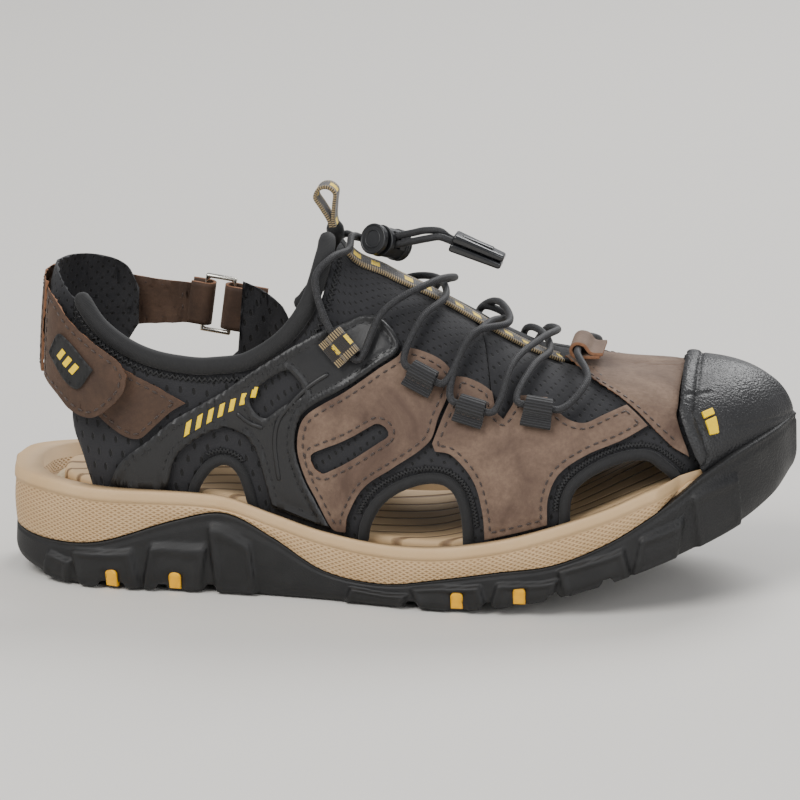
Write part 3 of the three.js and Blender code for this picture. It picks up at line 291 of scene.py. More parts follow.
# Acetal, injection moulded and polished: near black with a hard gloss and faint flow marks.
polished_plastic, surface = finish("polished_acetal", Base_Color="#121315", Roughness=0.24, Coat_Weight=0.3)
place_in = add(polished_plastic, "TexCoord", {}).outputs["Object"]
smear = add(polished_plastic, "TexNoise", {"Vector": place_in, "Scale": 260.0, "Detail": 4.0})
gloss = add(
    polished_plastic, "MapRange",
    {"Value": smear.outputs["Fac"], "From Min": 0.3, "From Max": 0.7, "To Min": 0.18, "To Max": 0.34},
)
link(polished_plastic, gloss.outputs["Result"], surface, "Roughness")
relief = add(polished_plastic, "Bump", {"Height": smear.outputs["Fac"], "Distance": 0.00003, "Strength": 0.4})
link(polished_plastic, relief.outputs["Normal"], surface, "Normal")

# End clip: a tray and a lid snapped together, 20.5 mm long, with a finger step along the lid.
clip_way = Vector((0.93, -0.04, -0.36)).normalized()
clip_aside = Vector((0, 0, 1)).cross(clip_way).normalized()
clip_up = clip_way.cross(clip_aside)
clip_place = Matrix((clip_way, clip_aside, clip_up)).transposed().to_4x4()
clip_place.translation = Vector((19.5, -8, 130.4)) / 1000
bm = bmesh.new()
for low, high, tall in ((-3.4, -0.15, 9.4), (0.15, 3.4, 9.0)):
    made = bmesh.ops.create_cube(bm, size=1)["verts"]
    bmesh.ops.scale(bm, vec=(20.3, tall, high - low), verts=made)
    bmesh.ops.translate(bm, vec=(10.25, 0, (low + high) / 2), verts=made)
    far = [v for v in made if v.co.x > 15]
    bmesh.ops.scale(bm, vec=(1, 0.72, 0.8), verts=far)
    ends = [e for e in bm.edges if all(v in made for v in e.verts)]
    bmesh.ops.bevel(
        bm, geom=ends, offset=1.0, offset_type="OFFSET", segments=4, profile=0.5, affect="EDGES", material=-1
    )
ridge = bmesh.ops.create_cube(bm, size=1)["verts"]
bmesh.ops.scale(bm, vec=(12.5, 3.4, 1.2), verts=ridge)
bmesh.ops.translate(bm, vec=(9.2, 0, 3.0), verts=ridge)
ends = [e for e in bm.edges if all(v in ridge for v in e.verts)]
bmesh.ops.bevel(
    bm, geom=ends, offset=0.5, offset_type="OFFSET", segments=3, profile=0.5, affect="EDGES", material=-1
)
bmesh.ops.scale(bm, vec=(0.001, 0.001, 0.001), verts=bm.verts)
bmesh.ops.transform(bm, matrix=clip_place, verts=bm.verts)
for face in bm.faces:
    face.smooth = True
end_clip = finished("end_clip", bm, polished_plastic, "shoe")
stands_for("cord_clip")

TAILS = {
    LATERAL: [
        (-5.60, -0.81, 125.65), (-0.69, -3.20, 127.28), (4.48, -5.73, 128.99), (9.65, -8.25, 130.71),
        (15.05, -10.11, 131.99), (18.03, -9.54, 130.94), (22.23, -9.72, 129.32), (25.49, -9.86, 128.06),
    ],
    MEDIAL: [
        (-5.89, 0.56, 128.53), (-0.98, -1.84, 130.15), (4.19, -4.36, 131.87), (9.36, -6.88, 133.58),
        (14.96, -7.60, 133.57), (18.17, -6.34, 130.94), (22.36, -6.52, 129.32), (25.63, -6.66, 128.06),
    ],
}
SIDE_NAME = {LATERAL: "lateral", MEDIAL: "medial"}
for side, points in TAILS.items():
    route = curve_through(points, 0.7)
    tail = swept(f"lace_end_{SIDE_NAME[side]}", route, CORD_R, shock_cord, "shoe", sides=16)
    stands_for(f"lace_tail_{SIDE_NAME[side]}")

# ------------------------------------------------------------------ outsole
# One piece of black rubber, compression moulded: tread blocks and cross channels below,
# raised grip pads round the wall, and a toe wall that climbs over the midsole.
LAST_END = 318  # millimetres from the back of the heel to the toe tip along the shoe
RIM = [  # station, x, y outer, y inner, x and y of the centre line
    (0, -146.5, 0, 0, -112, 0), (14, -143, -17, 17, -110, 0), (30, -129, -29, 28, -106, 0),
    (50, -109, -36.5, 34.5, -96, 0), (90, -64, -38, 34.5, -64, -1), (130, -24, -43, 36, -24, -3),
    (170, 20, -51, 44.3, 20, -3), (210, 62, -52.5, 51.5, 60, -1), (245, 97, -45, 52.5, 86, 4),
    (275, 124, -27, 46.3, 99, 10.2), (298, 139.5, -6, 37, 106, 12.3), (318, 146.5, 14, 14, 110, 12),
]
RIM_TOP = [
    (0, 41), (30, 39.5), (50, 38.5), (90, 37.5), (110, 32), (130, 26.5), (150, 23.7), (170, 24.3),
    (190, 28), (210, 34), (230, 41), (245, 47), (262, 51), (298, 54), (318, 56),
]
WAVE = [
    (0, 22), (14, 18), (30, 16), (50, 18), (75, 27.5), (92, 31), (110, 23), (130, 11.5), (150, 8.5),
    (170, 12), (190, 16), (210, 19.5), (230, 28), (245, 37), (255, 43.5), (266, 51), (280, 57),
    (298, 61), (318, 63),
]
TREAD = [
    (0, 9), (14, 5), (30, 1.2), (43, 0), (45, 0), (170, 0), (172, 0), (190, 2), (210, 6), (230, 12),
    (245, 17), (275, 27), (298, 35), (318, 42),
]
CUP_FLOOR = [
    (0, 14), (30, 10), (90, 10), (130, 7), (170, 6.5), (190, 8.5), (210, 13), (230, 20), (245, 26),
    (275, 37), (298, 42), (318, 46),
]


def through(table, x, column=1):
    """A smooth curve through a table's rows, read at x."""
    rows = np.array(table, float)
    xs, ys = rows[:, 0], rows[:, column]
    slopes = np.gradient(ys, xs) * 0
    slopes[1:-1] = (ys[2:] - ys[:-2]) / (xs[2:] - xs[:-2])
    slopes[0], slopes[-1] = (ys[1] - ys[0]) / (xs[1] - xs[0]), (ys[-1] - ys[-2]) / (xs[-1] - xs[-2])
    x = np.clip(np.asarray(x, float), xs[0], xs[-1])
    i = np.clip(np.searchsorted(xs, x, side="right") - 1, 0, len(xs) - 2)
    h = xs[i + 1] - xs[i]
    t = (x - xs[i]) / h
    return (
        (2 * t**3 - 3 * t**2 + 1) * ys[i] + (t**3 - 2 * t**2 + t) * h * slopes[i]
        + (3 * t**2 - 2 * t**3) * ys[i + 1] + (t**3 - t**2) * h * slopes[i + 1]
    )


def round_sole(u):
    """Station and side of a share u of the way round the sole, outer side first."""
    t = 2 * LAST_END * (u % 1.0)
    return np.where(t <= LAST_END, t, 2 * LAST_END - t), np.where(t <= LAST_END, LATERAL, MEDIAL)


def on_sole(s, side, outset, z, share=1.0):
    """A point of the sole's plan: outset from the rim, or a share of the way from the centre line."""
    x, y = through(RIM, s, 1), np.where(side == LATERAL, through(RIM, s, 2), through(RIM, s, 3))
    cx, cy = through(RIM, s, 4), through(RIM, s, 5)
    reach = np.hypot(x - cx, y - cy)
    k = (1 + outset / reach) * share
    return np.stack([cx + (x - cx) * k, cy + (y - cy) * k, z + 0 * x], -1)


def swell(x, low, high, soft=1.2):
    """1 between low and high, 0 outside, with soft ends."""
    ramp = np.clip((x - low) / soft + 0.5, 0, 1) * np.clip((high - x) / soft + 0.5, 0, 1)
    return ramp * ramp * (3 - 2 * ramp)


RIM_WALL = 3.4
CHANNELS = [24, 40, 64, 86, 160, 187, 212, 238]
PADS = [(28, 38.5), (41.5, 62.5), (65.5, 84.5), (88, 103), (138, 157.5), (162, 185.5), (188.5, 210.5),
        (213.5, 236.5), (239.5, 256), (262, 280)]
PLUGS = (54, 75, 176, 198)
SOLE_COLUMNS = 840
under = np.linspace(0, 1, 27)
wall = np.linspace(0.03, 0.98, 22)
# Rows of the section: share from the centre, outset, weights of tread, wave and cup floor, extra height
section = [(t, -3.5, 1, 0, 0, 0.0) for t in under[:-1]] + [
    (1, -3.5, 1, 0, 0, 0.0), (1, -2.2, 1, 0, 0, 0.25), (1, -1.0, 1, 0, 0, 0.9)
]
for q in wall:
    outset = 0.35 - 1.35 * (1 - min(q / 0.3, 1)) ** 2 - 0.35 * max(q - 0.35, 0) / 0.65
    section.append((1, outset, 1 - q, q, 0, 0.9 * (1 - q)))
section += [
    (1, -0.5, 0, 1, 0, -0.1), (1, -1.1, 0, 1, 0, 0.0), (1, -2.8, 0, 1, 0, 0.0), (1, -RIM_WALL, 0, 1, 0, -0.4)
]
section += [(1, -RIM_WALL - 1.5 * t, 0, 1 - t, t, 0.0) for t in (0.5, 1.0)]
section += [(t, -RIM_WALL - 1.5, 0, 0, 1, 0.0) for t in (0.7, 0.35, 0.0)]
section = np.array(section)
wall_from = len(under) + 2
ROWS = len(section) - 1


def outsole_surface(u, w):
    s, side = round_sole(u)
    row = section[np.round(w * ROWS).astype(int)]
    tread, wave, cup = through(TREAD, s), through(WAVE, s), through(CUP_FLOOR, s)
    z = row[:, 2] * tread + row[:, 3] * wave + row[:, 4] * cup + row[:, 5]
    outset, share = row[:, 1].copy(), row[:, 0]
    index = np.round(w * ROWS)
    on_wall = (index >= wall_from - 1) & (index < wall_from + len(wall))
    rise = (z - tread) / np.maximum(wave - tread, 1)
    pad, face = np.zeros_like(s), np.zeros_like(s)
    for k, (a, b) in enumerate(PADS):
        lean = (rise - 0.3) * (3.5 if k % 2 else -3.5)
        crest = 0.66 + 0.12 * (k % 2) + 0.06 * np.cos((s - a) / (b - a) * math.pi)
        pad = np.maximum(pad, swell(s + lean, a, b, 1.2) * swell(rise, -0.2, crest, 0.07))
        face = np.maximum(face, swell(s + lean, a + 2.2, b - 2.2, 1.0) * swell(rise, 0.1, crest - 0.13, 0.07))
    pocket = sum(swell(s, c - 3.0, c + 3.0, 1.2) for c in PLUGS) * swell(z - tread, -1.0, 7.6, 1.0)
    outset += np.where(on_wall, 2.1 * pad - 0.65 * face - 1.1 * pad * pocket, 0)
    outset += np.where(on_wall, -0.4 * swell(rise, 0.88, 0.95, 0.04), 0)
    points = on_sole(s, side, outset, z, share)
    # channels and tread blocks
    below = (index <= wall_from + 4).astype(float) * np.clip(1 - (z - tread) / 3.2, 0, 1)
    across = np.abs(points[:, 1] - through(RIM, s, 5)) / 45
    cut = np.zeros_like(s)
    for c in CHANNELS:
        middle = float(through(RIM, c, 4))
        cut = np.maximum(cut, swell(points[:, 0], middle - 2, middle + 2, 1.4))
    lug = np.abs(((points[:, 0] + 14 * across) / 13.5) % 1 - 0.5) * 2
    block = swell(lug, -0.2, 0.62, 0.2) * swell(across, 0.08, 0.5, 0.08)
    points[:, 2] += below * np.maximum(cut * 2.9, 1.6 * block * (share < 0.98))
    return points


def outsole_measure(u, w):
    return u * 700, w * 90


# Carbon-black rubber: matt from the mould, sandblasted grain 0.4 mm, dust greying the recesses.
rubber, surface = finish(
    "moulded_black_rubber", Base_Color="#121213", Roughness=0.56, Specular_IOR_Level=0.45
)
place_in = add(rubber, "TexCoord", {}).outputs["Object"]
grain = add(rubber, "TexNoise", {"Vector": place_in, "Scale": 2300.0, "Detail": 3.0})
dust = add(rubber, "TexNoise", {"Vector": place_in, "Scale": 55.0, "Detail": 8.0, "Roughness": 0.65})
amount = add(
    rubber, "MapRange",
    {"Value": dust.outputs["Fac"], "From Min": 0.42, "From Max": 0.72, "To Min": 0.0, "To Max": 1.0},
)
tint = add(rubber, "Mix", {0: amount.outputs["Result"], 6: "#0e0e0f", 7: "#1f1f1f"})
link(rubber, tint.outputs[2], surface, "Base Color")
shine = add(
    rubber, "MapRange",
    {"Value": dust.outputs["Fac"], "From Min": 0.3, "From Max": 0.7, "To Min": 0.46, "To Max": 0.68},
)
link(rubber, shine.outputs["Result"], surface, "Roughness")
cells = add(
    rubber, "TexVoronoi", {"Vector": place_in, "Scale": 1250.0, "Randomness": 0.95},
    feature="SMOOTH_F1",
)
spot = add(rubber, "SeparateXYZ", {"Vector": place_in})
on_toe = add(
    rubber, "MapRange",
    {"Value": spot.outputs["X"], "From Min": 0.088, "From Max": 0.108, "To Min": 0.0, "To Max": -2.2},
)
pebble = add(
    rubber, "Math", {0: cells.outputs["Distance"], 1: on_toe.outputs["Result"], 2: grain.outputs["Fac"]},
    operation="MULTIPLY_ADD",
)
relief = add(rubber, "Bump", {"Height": pebble.outputs["Value"], "Distance": 0.00014, "Strength": 0.7})
link(rubber, relief.outputs["Normal"], surface, "Normal")

outsole = shaped_grid(
    "rubber_outsole", SOLE_COLUMNS, ROWS, outsole_surface, outsole_measure, rubber, "shoe", flip=(0, 0, 14)
)
stands_for("outsole")

# ------------------------------------------------------------------ coloured plugs in the grip pads
# Eight orange-yellow rubber plugs, moulded first and set in the side pads, open at the tread.
plug_rubber, surface = finish(
    "orange_yellow_rubber", Base_Color="#e89a1c", Roughness=0.5, Subsurface_Weight=0.05
)
place_in = add(plug_rubber, "TexCoord", {}).outputs["Object"]
soil = add(plug_rubber, "TexNoise", {"Vector": place_in, "Scale": 420.0, "Detail": 5.0})
tint = add(plug_rubber, "Mix", {0: soil.outputs["Fac"], 6: "#ffbe00", 7: "#e69d00"})
link(plug_rubber, tint.outputs[2], surface, "Base Color")
relief = add(plug_rubber, "Bump", {"Height": soil.outputs["Fac"], "Distance": 0.0001, "Strength": 0.5})
link(plug_rubber, relief.outputs["Normal"], surface, "Normal")
for side in (LATERAL, MEDIAL):
    for i, s in enumerate(PLUGS):
        z = float(through(TREAD, s)) + 4.2
        foot = Vector(on_sole(np.array([float(s)]), np.array([side]), 0.2, z)[0])
        inside = Vector(on_sole(np.array([float(s)]), np.array([side]), -10.0, z)[0])
        out = (foot - inside).normalized()
        level = Vector((0, 0, 1)).cross(out).normalized()
        bm = bmesh.new()
        bmesh.ops.create_circle(bm, cap_ends=True, segments=24, radius=2.3)
        bmesh.ops.translate(bm, vec=(0, 1.7, 0), verts=bm.verts)
        for vert in bm.verts:
            if vert.co.y < 1.6:
                vert.co.y = -3.0
                vert.co.x = math.copysign(2.3, vert.co.x) if abs(vert.co.x) > 0.1 else 0
        bmesh.ops.remove_doubles(bm, verts=bm.verts, dist=0.02)
        top = bmesh.ops.extrude_face_region(bm, geom=bm.faces[:])["geom"]
        raised = [v for v in top if isinstance(v, bmesh.types.BMVert)]
        bmesh.ops.translate(bm, vec=(0, 0, 3.3), verts=raised)
        for vert in raised:
            vert.co.z -= 0.42 * max(0.0, -0.4 - vert.co.y)
        rim = [e for e in bm.edges if all(v in raised for v in e.verts) and len(e.link_faces) == 2]
        rim = [e for e in rim if abs(e.link_faces[0].normal.dot(e.link_faces[1].normal)) < 0.7]
        bmesh.ops.recalc_face_normals(bm, faces=bm.faces)
        bmesh.ops.bevel(
            bm, geom=rim, offset=0.7, offset_type="OFFSET", segments=4, profile=0.5, affect="EDGES",
            material=-1
        )
        turn = Matrix((level, out.cross(level), out)).transposed().to_4x4()
        turn.translation = foot - out * 1.9
        bmesh.ops.transform(bm, matrix=Matrix.Scale(0.001, 4) @ turn, verts=bm.verts)
        for face in bm.faces:
            face.smooth = True
        plug = finished(f"pad_plug_{SIDE_NAME[side]}_{i + 1}", bm, plug_rubber, "shoe")
        stands_for(f"lug_insert_{SIDE_NAME[side]}_{i + 1}")

# ------------------------------------------------------------------ midsole
# Tan EVA foam, hot pressed: a smooth rounded band along the top and a pressed diamond
# hatch below it. It sits in the cup of the outsole and carries the lasted upper.
LAST = [  # station, base x, base y outer, inner, base z, ridge x, y, z, bulge, roundness
    (0, -130, 0, 0, 34, -96, 0, 205, 5, 0.85), (14, -127, -13, 13, 34, -95, 0, 205, 5, 0.85),
    (30, -117, -23, 22, 34, -92, 0, 205, 5, 0.85), (50, -100, -27.5, 26, 33, -83, 0, 205, 5, 0.85),
    (90, -60, -29, 26, 31.5, -56, 0, 192, 4, 0.85), (130, -20, -34.5, 27, 22.5, -24, 0, 126, 4, 0.85),
    (150, 0, -38, 31, 19.5, -7, 0, 115, 5, 0.85), (170, 20, -41, 34.5, 19.5, 10, 0, 107, 5, 0.85),
    (210, 58, -43, 40.5, 28, 44, 1, 88, 6, 0.8), (245, 90, -36, 42, 39.5, 66, 3, 80, 6, 0.7),
    (275, 115, -19, 38, 47, 80, 5, 78, 5, 0.6), (298, 131, -1, 29, 50, 86, 7, 78, 4, 0.55),
    (318, 138, 13, 13, 52, 88, 8, 78, 3, 0.5),
]


def seat_outset(s, side, out):
    """How far the feather edge of the last, moved out, lies inside the rim."""
    rim, centre = on_sole(s, side, 0.0, 0.0)[:, :2], np.stack([through(RIM, s, 4), through(RIM, s, 5)], 1)
    base = np.stack(
        [through(LAST, s, 1), np.where(side == LATERAL, through(LAST, s, 2), through(LAST, s, 3))], 1
    )
    reach = np.linalg.norm(rim - centre, axis=1)
    return ((base - centre) * (rim - centre)).sum(1) / reach - reach + out


def toe_share(s):
    return np.clip((s - 247) / 10, 0, 1)


def seat_edge(s, side):
    return np.minimum(np.minimum(seat_outset(s, side, 6.4), -2.4), -(RIM_WALL + 2.7) * toe_share(s))


def seat_floor(s):
    return through(LAST, s, 4) - 0.8


MIDSOLE_ROWS = 33


def midsole_surface(u, w):
    s, side = round_sole(u)
    index = np.round(w * MIDSOLE_ROWS).astype(int)
    hidden = -(RIM_WALL + 1.5) * toe_share(s)
    shown = 1 - toe_share(s)
    wave, top, cup = through(WAVE, s) + 0.4, through(RIM_TOP, s), through(CUP_FLOOR, s) + 0.5
    low = np.minimum(wave, top - 3)
    seat = seat_edge(s, side)
    outset, z, share = np.zeros_like(s), np.zeros_like(s), np.ones_like(s)
    for i in range(MIDSOLE_ROWS + 1):
        here = index == i
        if i == 0:
            o, h, f = 0 * s, cup, 0 * s
        elif i == 1:
            o, h, f = 0 * s - RIM_WALL - 2.3, cup, 0 * s + 1
        elif i == 2:
            o, h, f = 0 * s - RIM_WALL - 0.7, low, 0 * s + 1
        elif i <= 22:  # the wall, up to the smooth band
            t = (i - 3) / 19
            h = low + (top - 4.6 - low) * t
            o, f = hidden + (0.1 + 0.55 * math.sin(math.pi * t)) * shown, 0 * s + 1
        elif i <= 30:  # the smooth rounded band
            t = (i - 23) / 7
            h = top - 4.3 + 4.3 * min(1, math.sin(t * math.pi / 2) ** 0.8)
            roll = 1.35 * (1 - math.cos(t * math.pi / 2) ** 0.7)
            o, f = hidden + (0.7 - roll) * shown - 0.9 * t * toe_share(s), 0 * s + 1
        elif i == 31:
            o, h, f = np.minimum(seat + 0.4, hidden - 0.6), top - 0.1, 0 * s + 1
        elif i == 32:
            o, h, f = seat - 0.1, seat_floor(s) - 2.2, 0 * s + 1
        else:
            o, h, f = 0 * s, seat_floor(s) - 2.2, 0 * s
        outset, z, share = np.where(here, o, outset), np.where(here, h, z), np.where(here, f, share)
    return on_sole(s, side, outset, z, share)


def midsole_measure(u, w):
    """Length round the sole, and depth below the top of the rim."""
    s, side = round_sole(u)
    return 2 * LAST_END * u, midsole_surface(u, w)[:, 2] - through(RIM_TOP, s)


# EVA: closed-cell foam with a soft waxy skin. The diamonds are 2.6 x 1.6 mm, pressed 0.2 mm.
foam, surface = finish("pressed_eva_foam", Base_Color="#b89870", Roughness=0.62, Subsurface_Weight=0.06)
surface.inputs["Subsurface Radius"].default_value = (0.004, 0.003, 0.002)
uv = add(foam, "UVMap", {}, uv_map="pattern").outputs["UV"]
lines = []
for turn in (0.55, -0.55):
    turned = add(foam, "Mapping", {"Vector": uv, "Rotation": (0, 0, turn + math.pi / 2)})
    lines.append(add(foam, "TexWave", {"Vector": turned.outputs["Vector"], "Scale": 0.314 / 1.35}))
diamonds = add(foam, "Math", {0: lines[0].outputs["Fac"], 1: lines[1].outputs["Fac"]}, operation="MINIMUM")
depth = add(foam, "SeparateXYZ", {"Vector": uv})
zone = add(
    foam, "MapRange",
    {"Value": depth.outputs["Y"], "From Min": -5.6, "From Max": -5.0, "To Min": 1.0, "To Max": 0.0},
)
hatch = add(foam, "Math", {0: diamonds.outputs["Value"], 1: zone.outputs["Result"]}, operation="MULTIPLY")
cloud = add(foam, "TexNoise", {"Vector": uv, "Scale": 0.06, "Detail": 6.0})
shade = add(foam, "Mix", {0: cloud.outputs["Fac"], 6: "#c9ab83", 7: "#b8976c"})
# Painted shade: the sunk lines of the pressed hatch are painted a darker tan (#94744e).
painted_hatch_shade = add(foam, "Mix", {0: hatch.outputs["Value"], 6: shade.outputs[2], 7: "#94744e"})
link(foam, painted_hatch_shade.outputs[2], surface, "Base Color")
pores = add(foam, "TexNoise", {"Vector": uv, "Scale": 2.2, "Detail": 2.0})
fine = add(foam, "Bump", {"Height": pores.outputs["Fac"], "Distance": 0.00006, "Strength": 0.5})
relief = add(
    foam, "Bump",
    {"Height": hatch.outputs["Value"], "Distance": 0.0004, "Strength": 0.7, "Normal": fine.outputs["Normal"]},
    invert=True,
)
link(foam, relief.outputs["Normal"], surface, "Normal")

midsole = shaped_grid(
    "eva_midsole", 636, MIDSOLE_ROWS, midsole_surface, midsole_measure, foam, "shoe", flip=(0, 0, 25)
)
stands_for("midsole")

# ------------------------------------------------------------------ board and footbed
# A fibre board that the upper is cemented under, and on it a moulded foam footbed with
# sinuous grip grooves and a slightly raised edge.
fibre, surface = finish("lasting_fibre_board", Base_Color="#b9a888", Roughness=0.9)
place_in = add(fibre, "TexCoord", {}).outputs["Object"]
speck = add(fibre, "TexNoise", {"Vector": place_in, "Scale": 900.0, "Detail": 4.0})
tint = add(fibre, "Mix", {0: speck.outputs["Fac"], 6: "#c6b595", 7: "#9c8c6e"})
link(fibre, tint.outputs[2], surface, "Base Color")
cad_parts["lasting_board"].data.materials.clear()
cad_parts["lasting_board"].data.materials.append(fibre)

FOOTBED_ROWS = 20


def footbed_surface(u, w):
    s, side = round_sole(u)
    index = np.round(w * FOOTBED_ROWS).astype(int)
    edge = np.minimum(seat_outset(s, side, -2.1), seat_edge(s, side) - 0.5)
    low = seat_floor(s) + 1.0
    profile = [(0, 0, 0)] + [(1, 0, 0), (1, 0, 2.6), (1, -0.3, 3.6), (1, -1.0, 4.1), (1, -2.0, 4.3)]
    profile += [
        (1 - 0.07 * k, -2.0, 4.25 - 0.6 * math.sin(min(k, 6) / 6 * math.pi / 2))
        for k in range(1, 14)
    ]
    profile += [(0.0, 0, 3.65), (0.0, 0, 3.65)]
    rows = np.array(profile[: FOOTBED_ROWS + 1])[index]
    points = on_sole(s, side, edge + rows[:, 1], low + rows[:, 2], rows[:, 0])
    return points


# Moulded EVA footbed: the same tan foam with 1.2 mm wide flowing grooves about 8 mm apart.
insole, surface = finish("grooved_eva_footbed", Base_Color="#c2a47c", Roughness=0.7)
place_in = add(insole, "TexCoord", {}).outputs["Object"]
bent = add(
    insole, "Mapping",
    {"Vector": place_in, "Rotation": (0, 0, 1.15), "Scale": (1.0, 1.0, 0.0)},
)
flow = add(
    insole, "TexWave",
    {"Vector": bent.outputs["Vector"], "Scale": 36.0, "Distortion": 5.0, "Detail": 1.0, "Detail Scale": 0.45},
)
groove = add(
    insole, "MapRange",
    {"Value": flow.outputs["Fac"], "From Min": 0.0, "From Max": 0.16, "To Min": 1.0, "To Max": 0.0},
)
pores = add(insole, "TexNoise", {"Vector": place_in, "Scale": 1500.0, "Detail": 3.0})
worn = add(insole, "TexNoise", {"Vector": place_in, "Scale": 30.0, "Detail": 5.0})
shade = add(insole, "Mix", {0: worn.outputs["Fac"], 6: "#cbae86", 7: "#b8986f"})
# Painted shade: the grooves are painted dark brown (#7a6146).
tint = add(insole, "Mix", {0: groove.outputs["Result"], 6: shade.outputs[2], 7: "#7a6146"})
link(insole, tint.outputs[2], surface, "Base Color")
fine = add(insole, "Bump", {"Height": pores.outputs["Fac"], "Distance": 0.00008, "Strength": 0.5})
relief = add(
    insole, "Bump",
    {
        "Height": groove.outputs["Result"], "Distance": 0.0008, "Strength": 0.9,
        "Normal": fine.outputs["Normal"]
    },
    invert=True,
)
link(insole, relief.outputs["Normal"], surface, "Normal")
footbed = shaped_grid(
    "footbed_moulding", 424, FOOTBED_ROWS, footbed_surface, outsole_measure, insole, "shoe", flip=(0, 0, 34)
)
stands_for("footbed")

# ------------------------------------------------------------------ lining of the upper
# Foam-backed spacer mesh, black-grey and perforated in staggered rows, 1.5 mm thick. It is
# lasted over the form as four panels, cut out over the arch, the ball and the toes.
COLLAR_LINE = [
    (30, 0.28), (41, 0.235), (55, 0.205), (69, 0.192), (83, 0.197), (97, 0.235), (110, 0.34), (119, 0.5),
    (124, 0.73),
]
ARCH_WINDOW = [(75, 0), (77, 0.025), (83, 0.055), (90, 0.065), (95, 0.05), (99, 0)]
BALL_WINDOW = [
    (140, 0), (141, 0.05), (146, 0.115), (155, 0.17), (164, 0.2), (171, 0.2), (176, 0.17), (179, 0.1),
    (180, 0),
]
TOE_WINDOW = [
    (217, 0), (217, 0.12), (220, 0.18), (228, 0.23), (240, 0.26), (249, 0.235), (255, 0.14), (259, 0.07),
    (262, 0),
]
LINING, LIFT, OVERLAY = 1.5, 2.0, 1.6  # lining's thickness, underside of the overlays, their thickness


def bare_last(s, v, side):
    """A point of the last. Past the heel, the toe or the ridge the surface runs on to the other side."""
    s, v, side = (np.array(x, float) for x in np.broadcast_arrays(s, v, side))
    side = np.where(s < 0, -side, side)
    s = np.abs(s)
    side = np.where(s > LAST_END, -side, side)
    s = np.where(s > LAST_END, 2 * LAST_END - s, s)
    side = np.where(v > 1, -side, side)
    v = np.where(v > 1, 2 - v, v)
    bx, bz, rx, ry, rz, bulge, power = (through(LAST, s, c) for c in (1, 4, 5, 6, 7, 8, 9))
    by = np.where(side < 0, through(LAST, s, 2), through(LAST, s, 3))
    turn = np.clip(v, 0, 1) * np.pi / 2
    inwards = 1 - np.maximum(np.cos(turn), 0) ** power
    up = np.sin(turn) ** (power + 0.1)
    out = bulge * np.sin(np.pi * np.maximum(v, 0) ** 0.6) * (1 - v) / np.hypot(bx - rx, by - ry)
    return np.stack(
        [
            bx + (rx - bx) * inwards + (bx - rx) * out, by + (ry - by) * inwards + (by - ry) * out,
            bz + (rz - bz) * up
        ],
        -1,
    )


def outward(s, v, side):
    """Unit normal of the last, pointing away from the foot."""
    forward = bare_last(s + 0.5, v, side) - bare_last(s - 0.5, v, side)
    upward = bare_last(s, np.minimum(v + 0.004, 2), side) - bare_last(s, np.maximum(v - 0.004, 0), side)
    n = np.cross(forward, upward)
    n /= np.linalg.norm(n, axis=-1, keepdims=True) + 1e-12
    p = bare_last(s, v, side)
    inner = p * (0.7, 0, 0) + (0, 0, 50)
    return n * np.where(((p - inner) * n).sum(-1) < 0, -1.0, 1.0)[..., None]


def on_last(s, v, side, lift=0.0):
    s, v = np.broadcast_arrays(np.asarray(s, float), np.asarray(v, float))
    return bare_last(s, v, side) + outward(s, v, side) * np.asarray(lift)[..., None]


def drawn(points, step=1.5, closed=True, corner=48):
    """A smooth outline through points (station, height), corners kept; returned as (mm, 100 x height)."""
    p = np.array(points, float) * (1, 100)
    n = len(p)

    def sharp(i):
        if not closed and i in (0, n - 1):
            return True
        a, b = p[i] - p[i - 1], p[(i + 1) % n] - p[i]
        return a.dot(b) < math.cos(math.radians(corner)) * np.linalg.norm(a) * np.linalg.norm(b)

    out = []
    for i in range(n if closed else n - 1):
        a, b = p[i], p[(i + 1) % n]
        long = np.linalg.norm(b - a)
        if long < 1e-6:
            continue
        m0 = m1 = b - a
        if not sharp(i):
            m0 = (b - p[i - 1]) / (long + np.linalg.norm(a - p[i - 1])) * long
        if not sharp((i + 1) % n):
            c = p[(i + 2) % n]
            m1 = (c - a) / (long + np.linalg.norm(c - b)) * long
        count = max(1, round(long / step))
        t = (np.arange(count) / count)[:, None]
        out.append(
            (2 * t**3 - 3 * t**2 + 1) * a + (t**3 - 2 * t**2 + t) * m0
            + (3 * t**2 - 2 * t**3) * b + (t**3 - t**2) * m1
        )
    line = np.vstack(out)
    return line if closed else np.vstack([line, p[-1:]])


def from_edge(points, rings):
    """Distance of each point from the nearest of the closed rings, in mm."""
    best = np.full(len(points), 1e9)
    for ring in rings:
        for a, b in zip(ring, np.roll(ring, -1, axis=0)):
            ab = b - a
            t = np.clip((points - a) @ ab / max(ab @ ab, 1e-9), 0, 1)
            best = np.minimum(best, np.linalg.norm(points - a - t[:, None] * ab, axis=1))
    return best


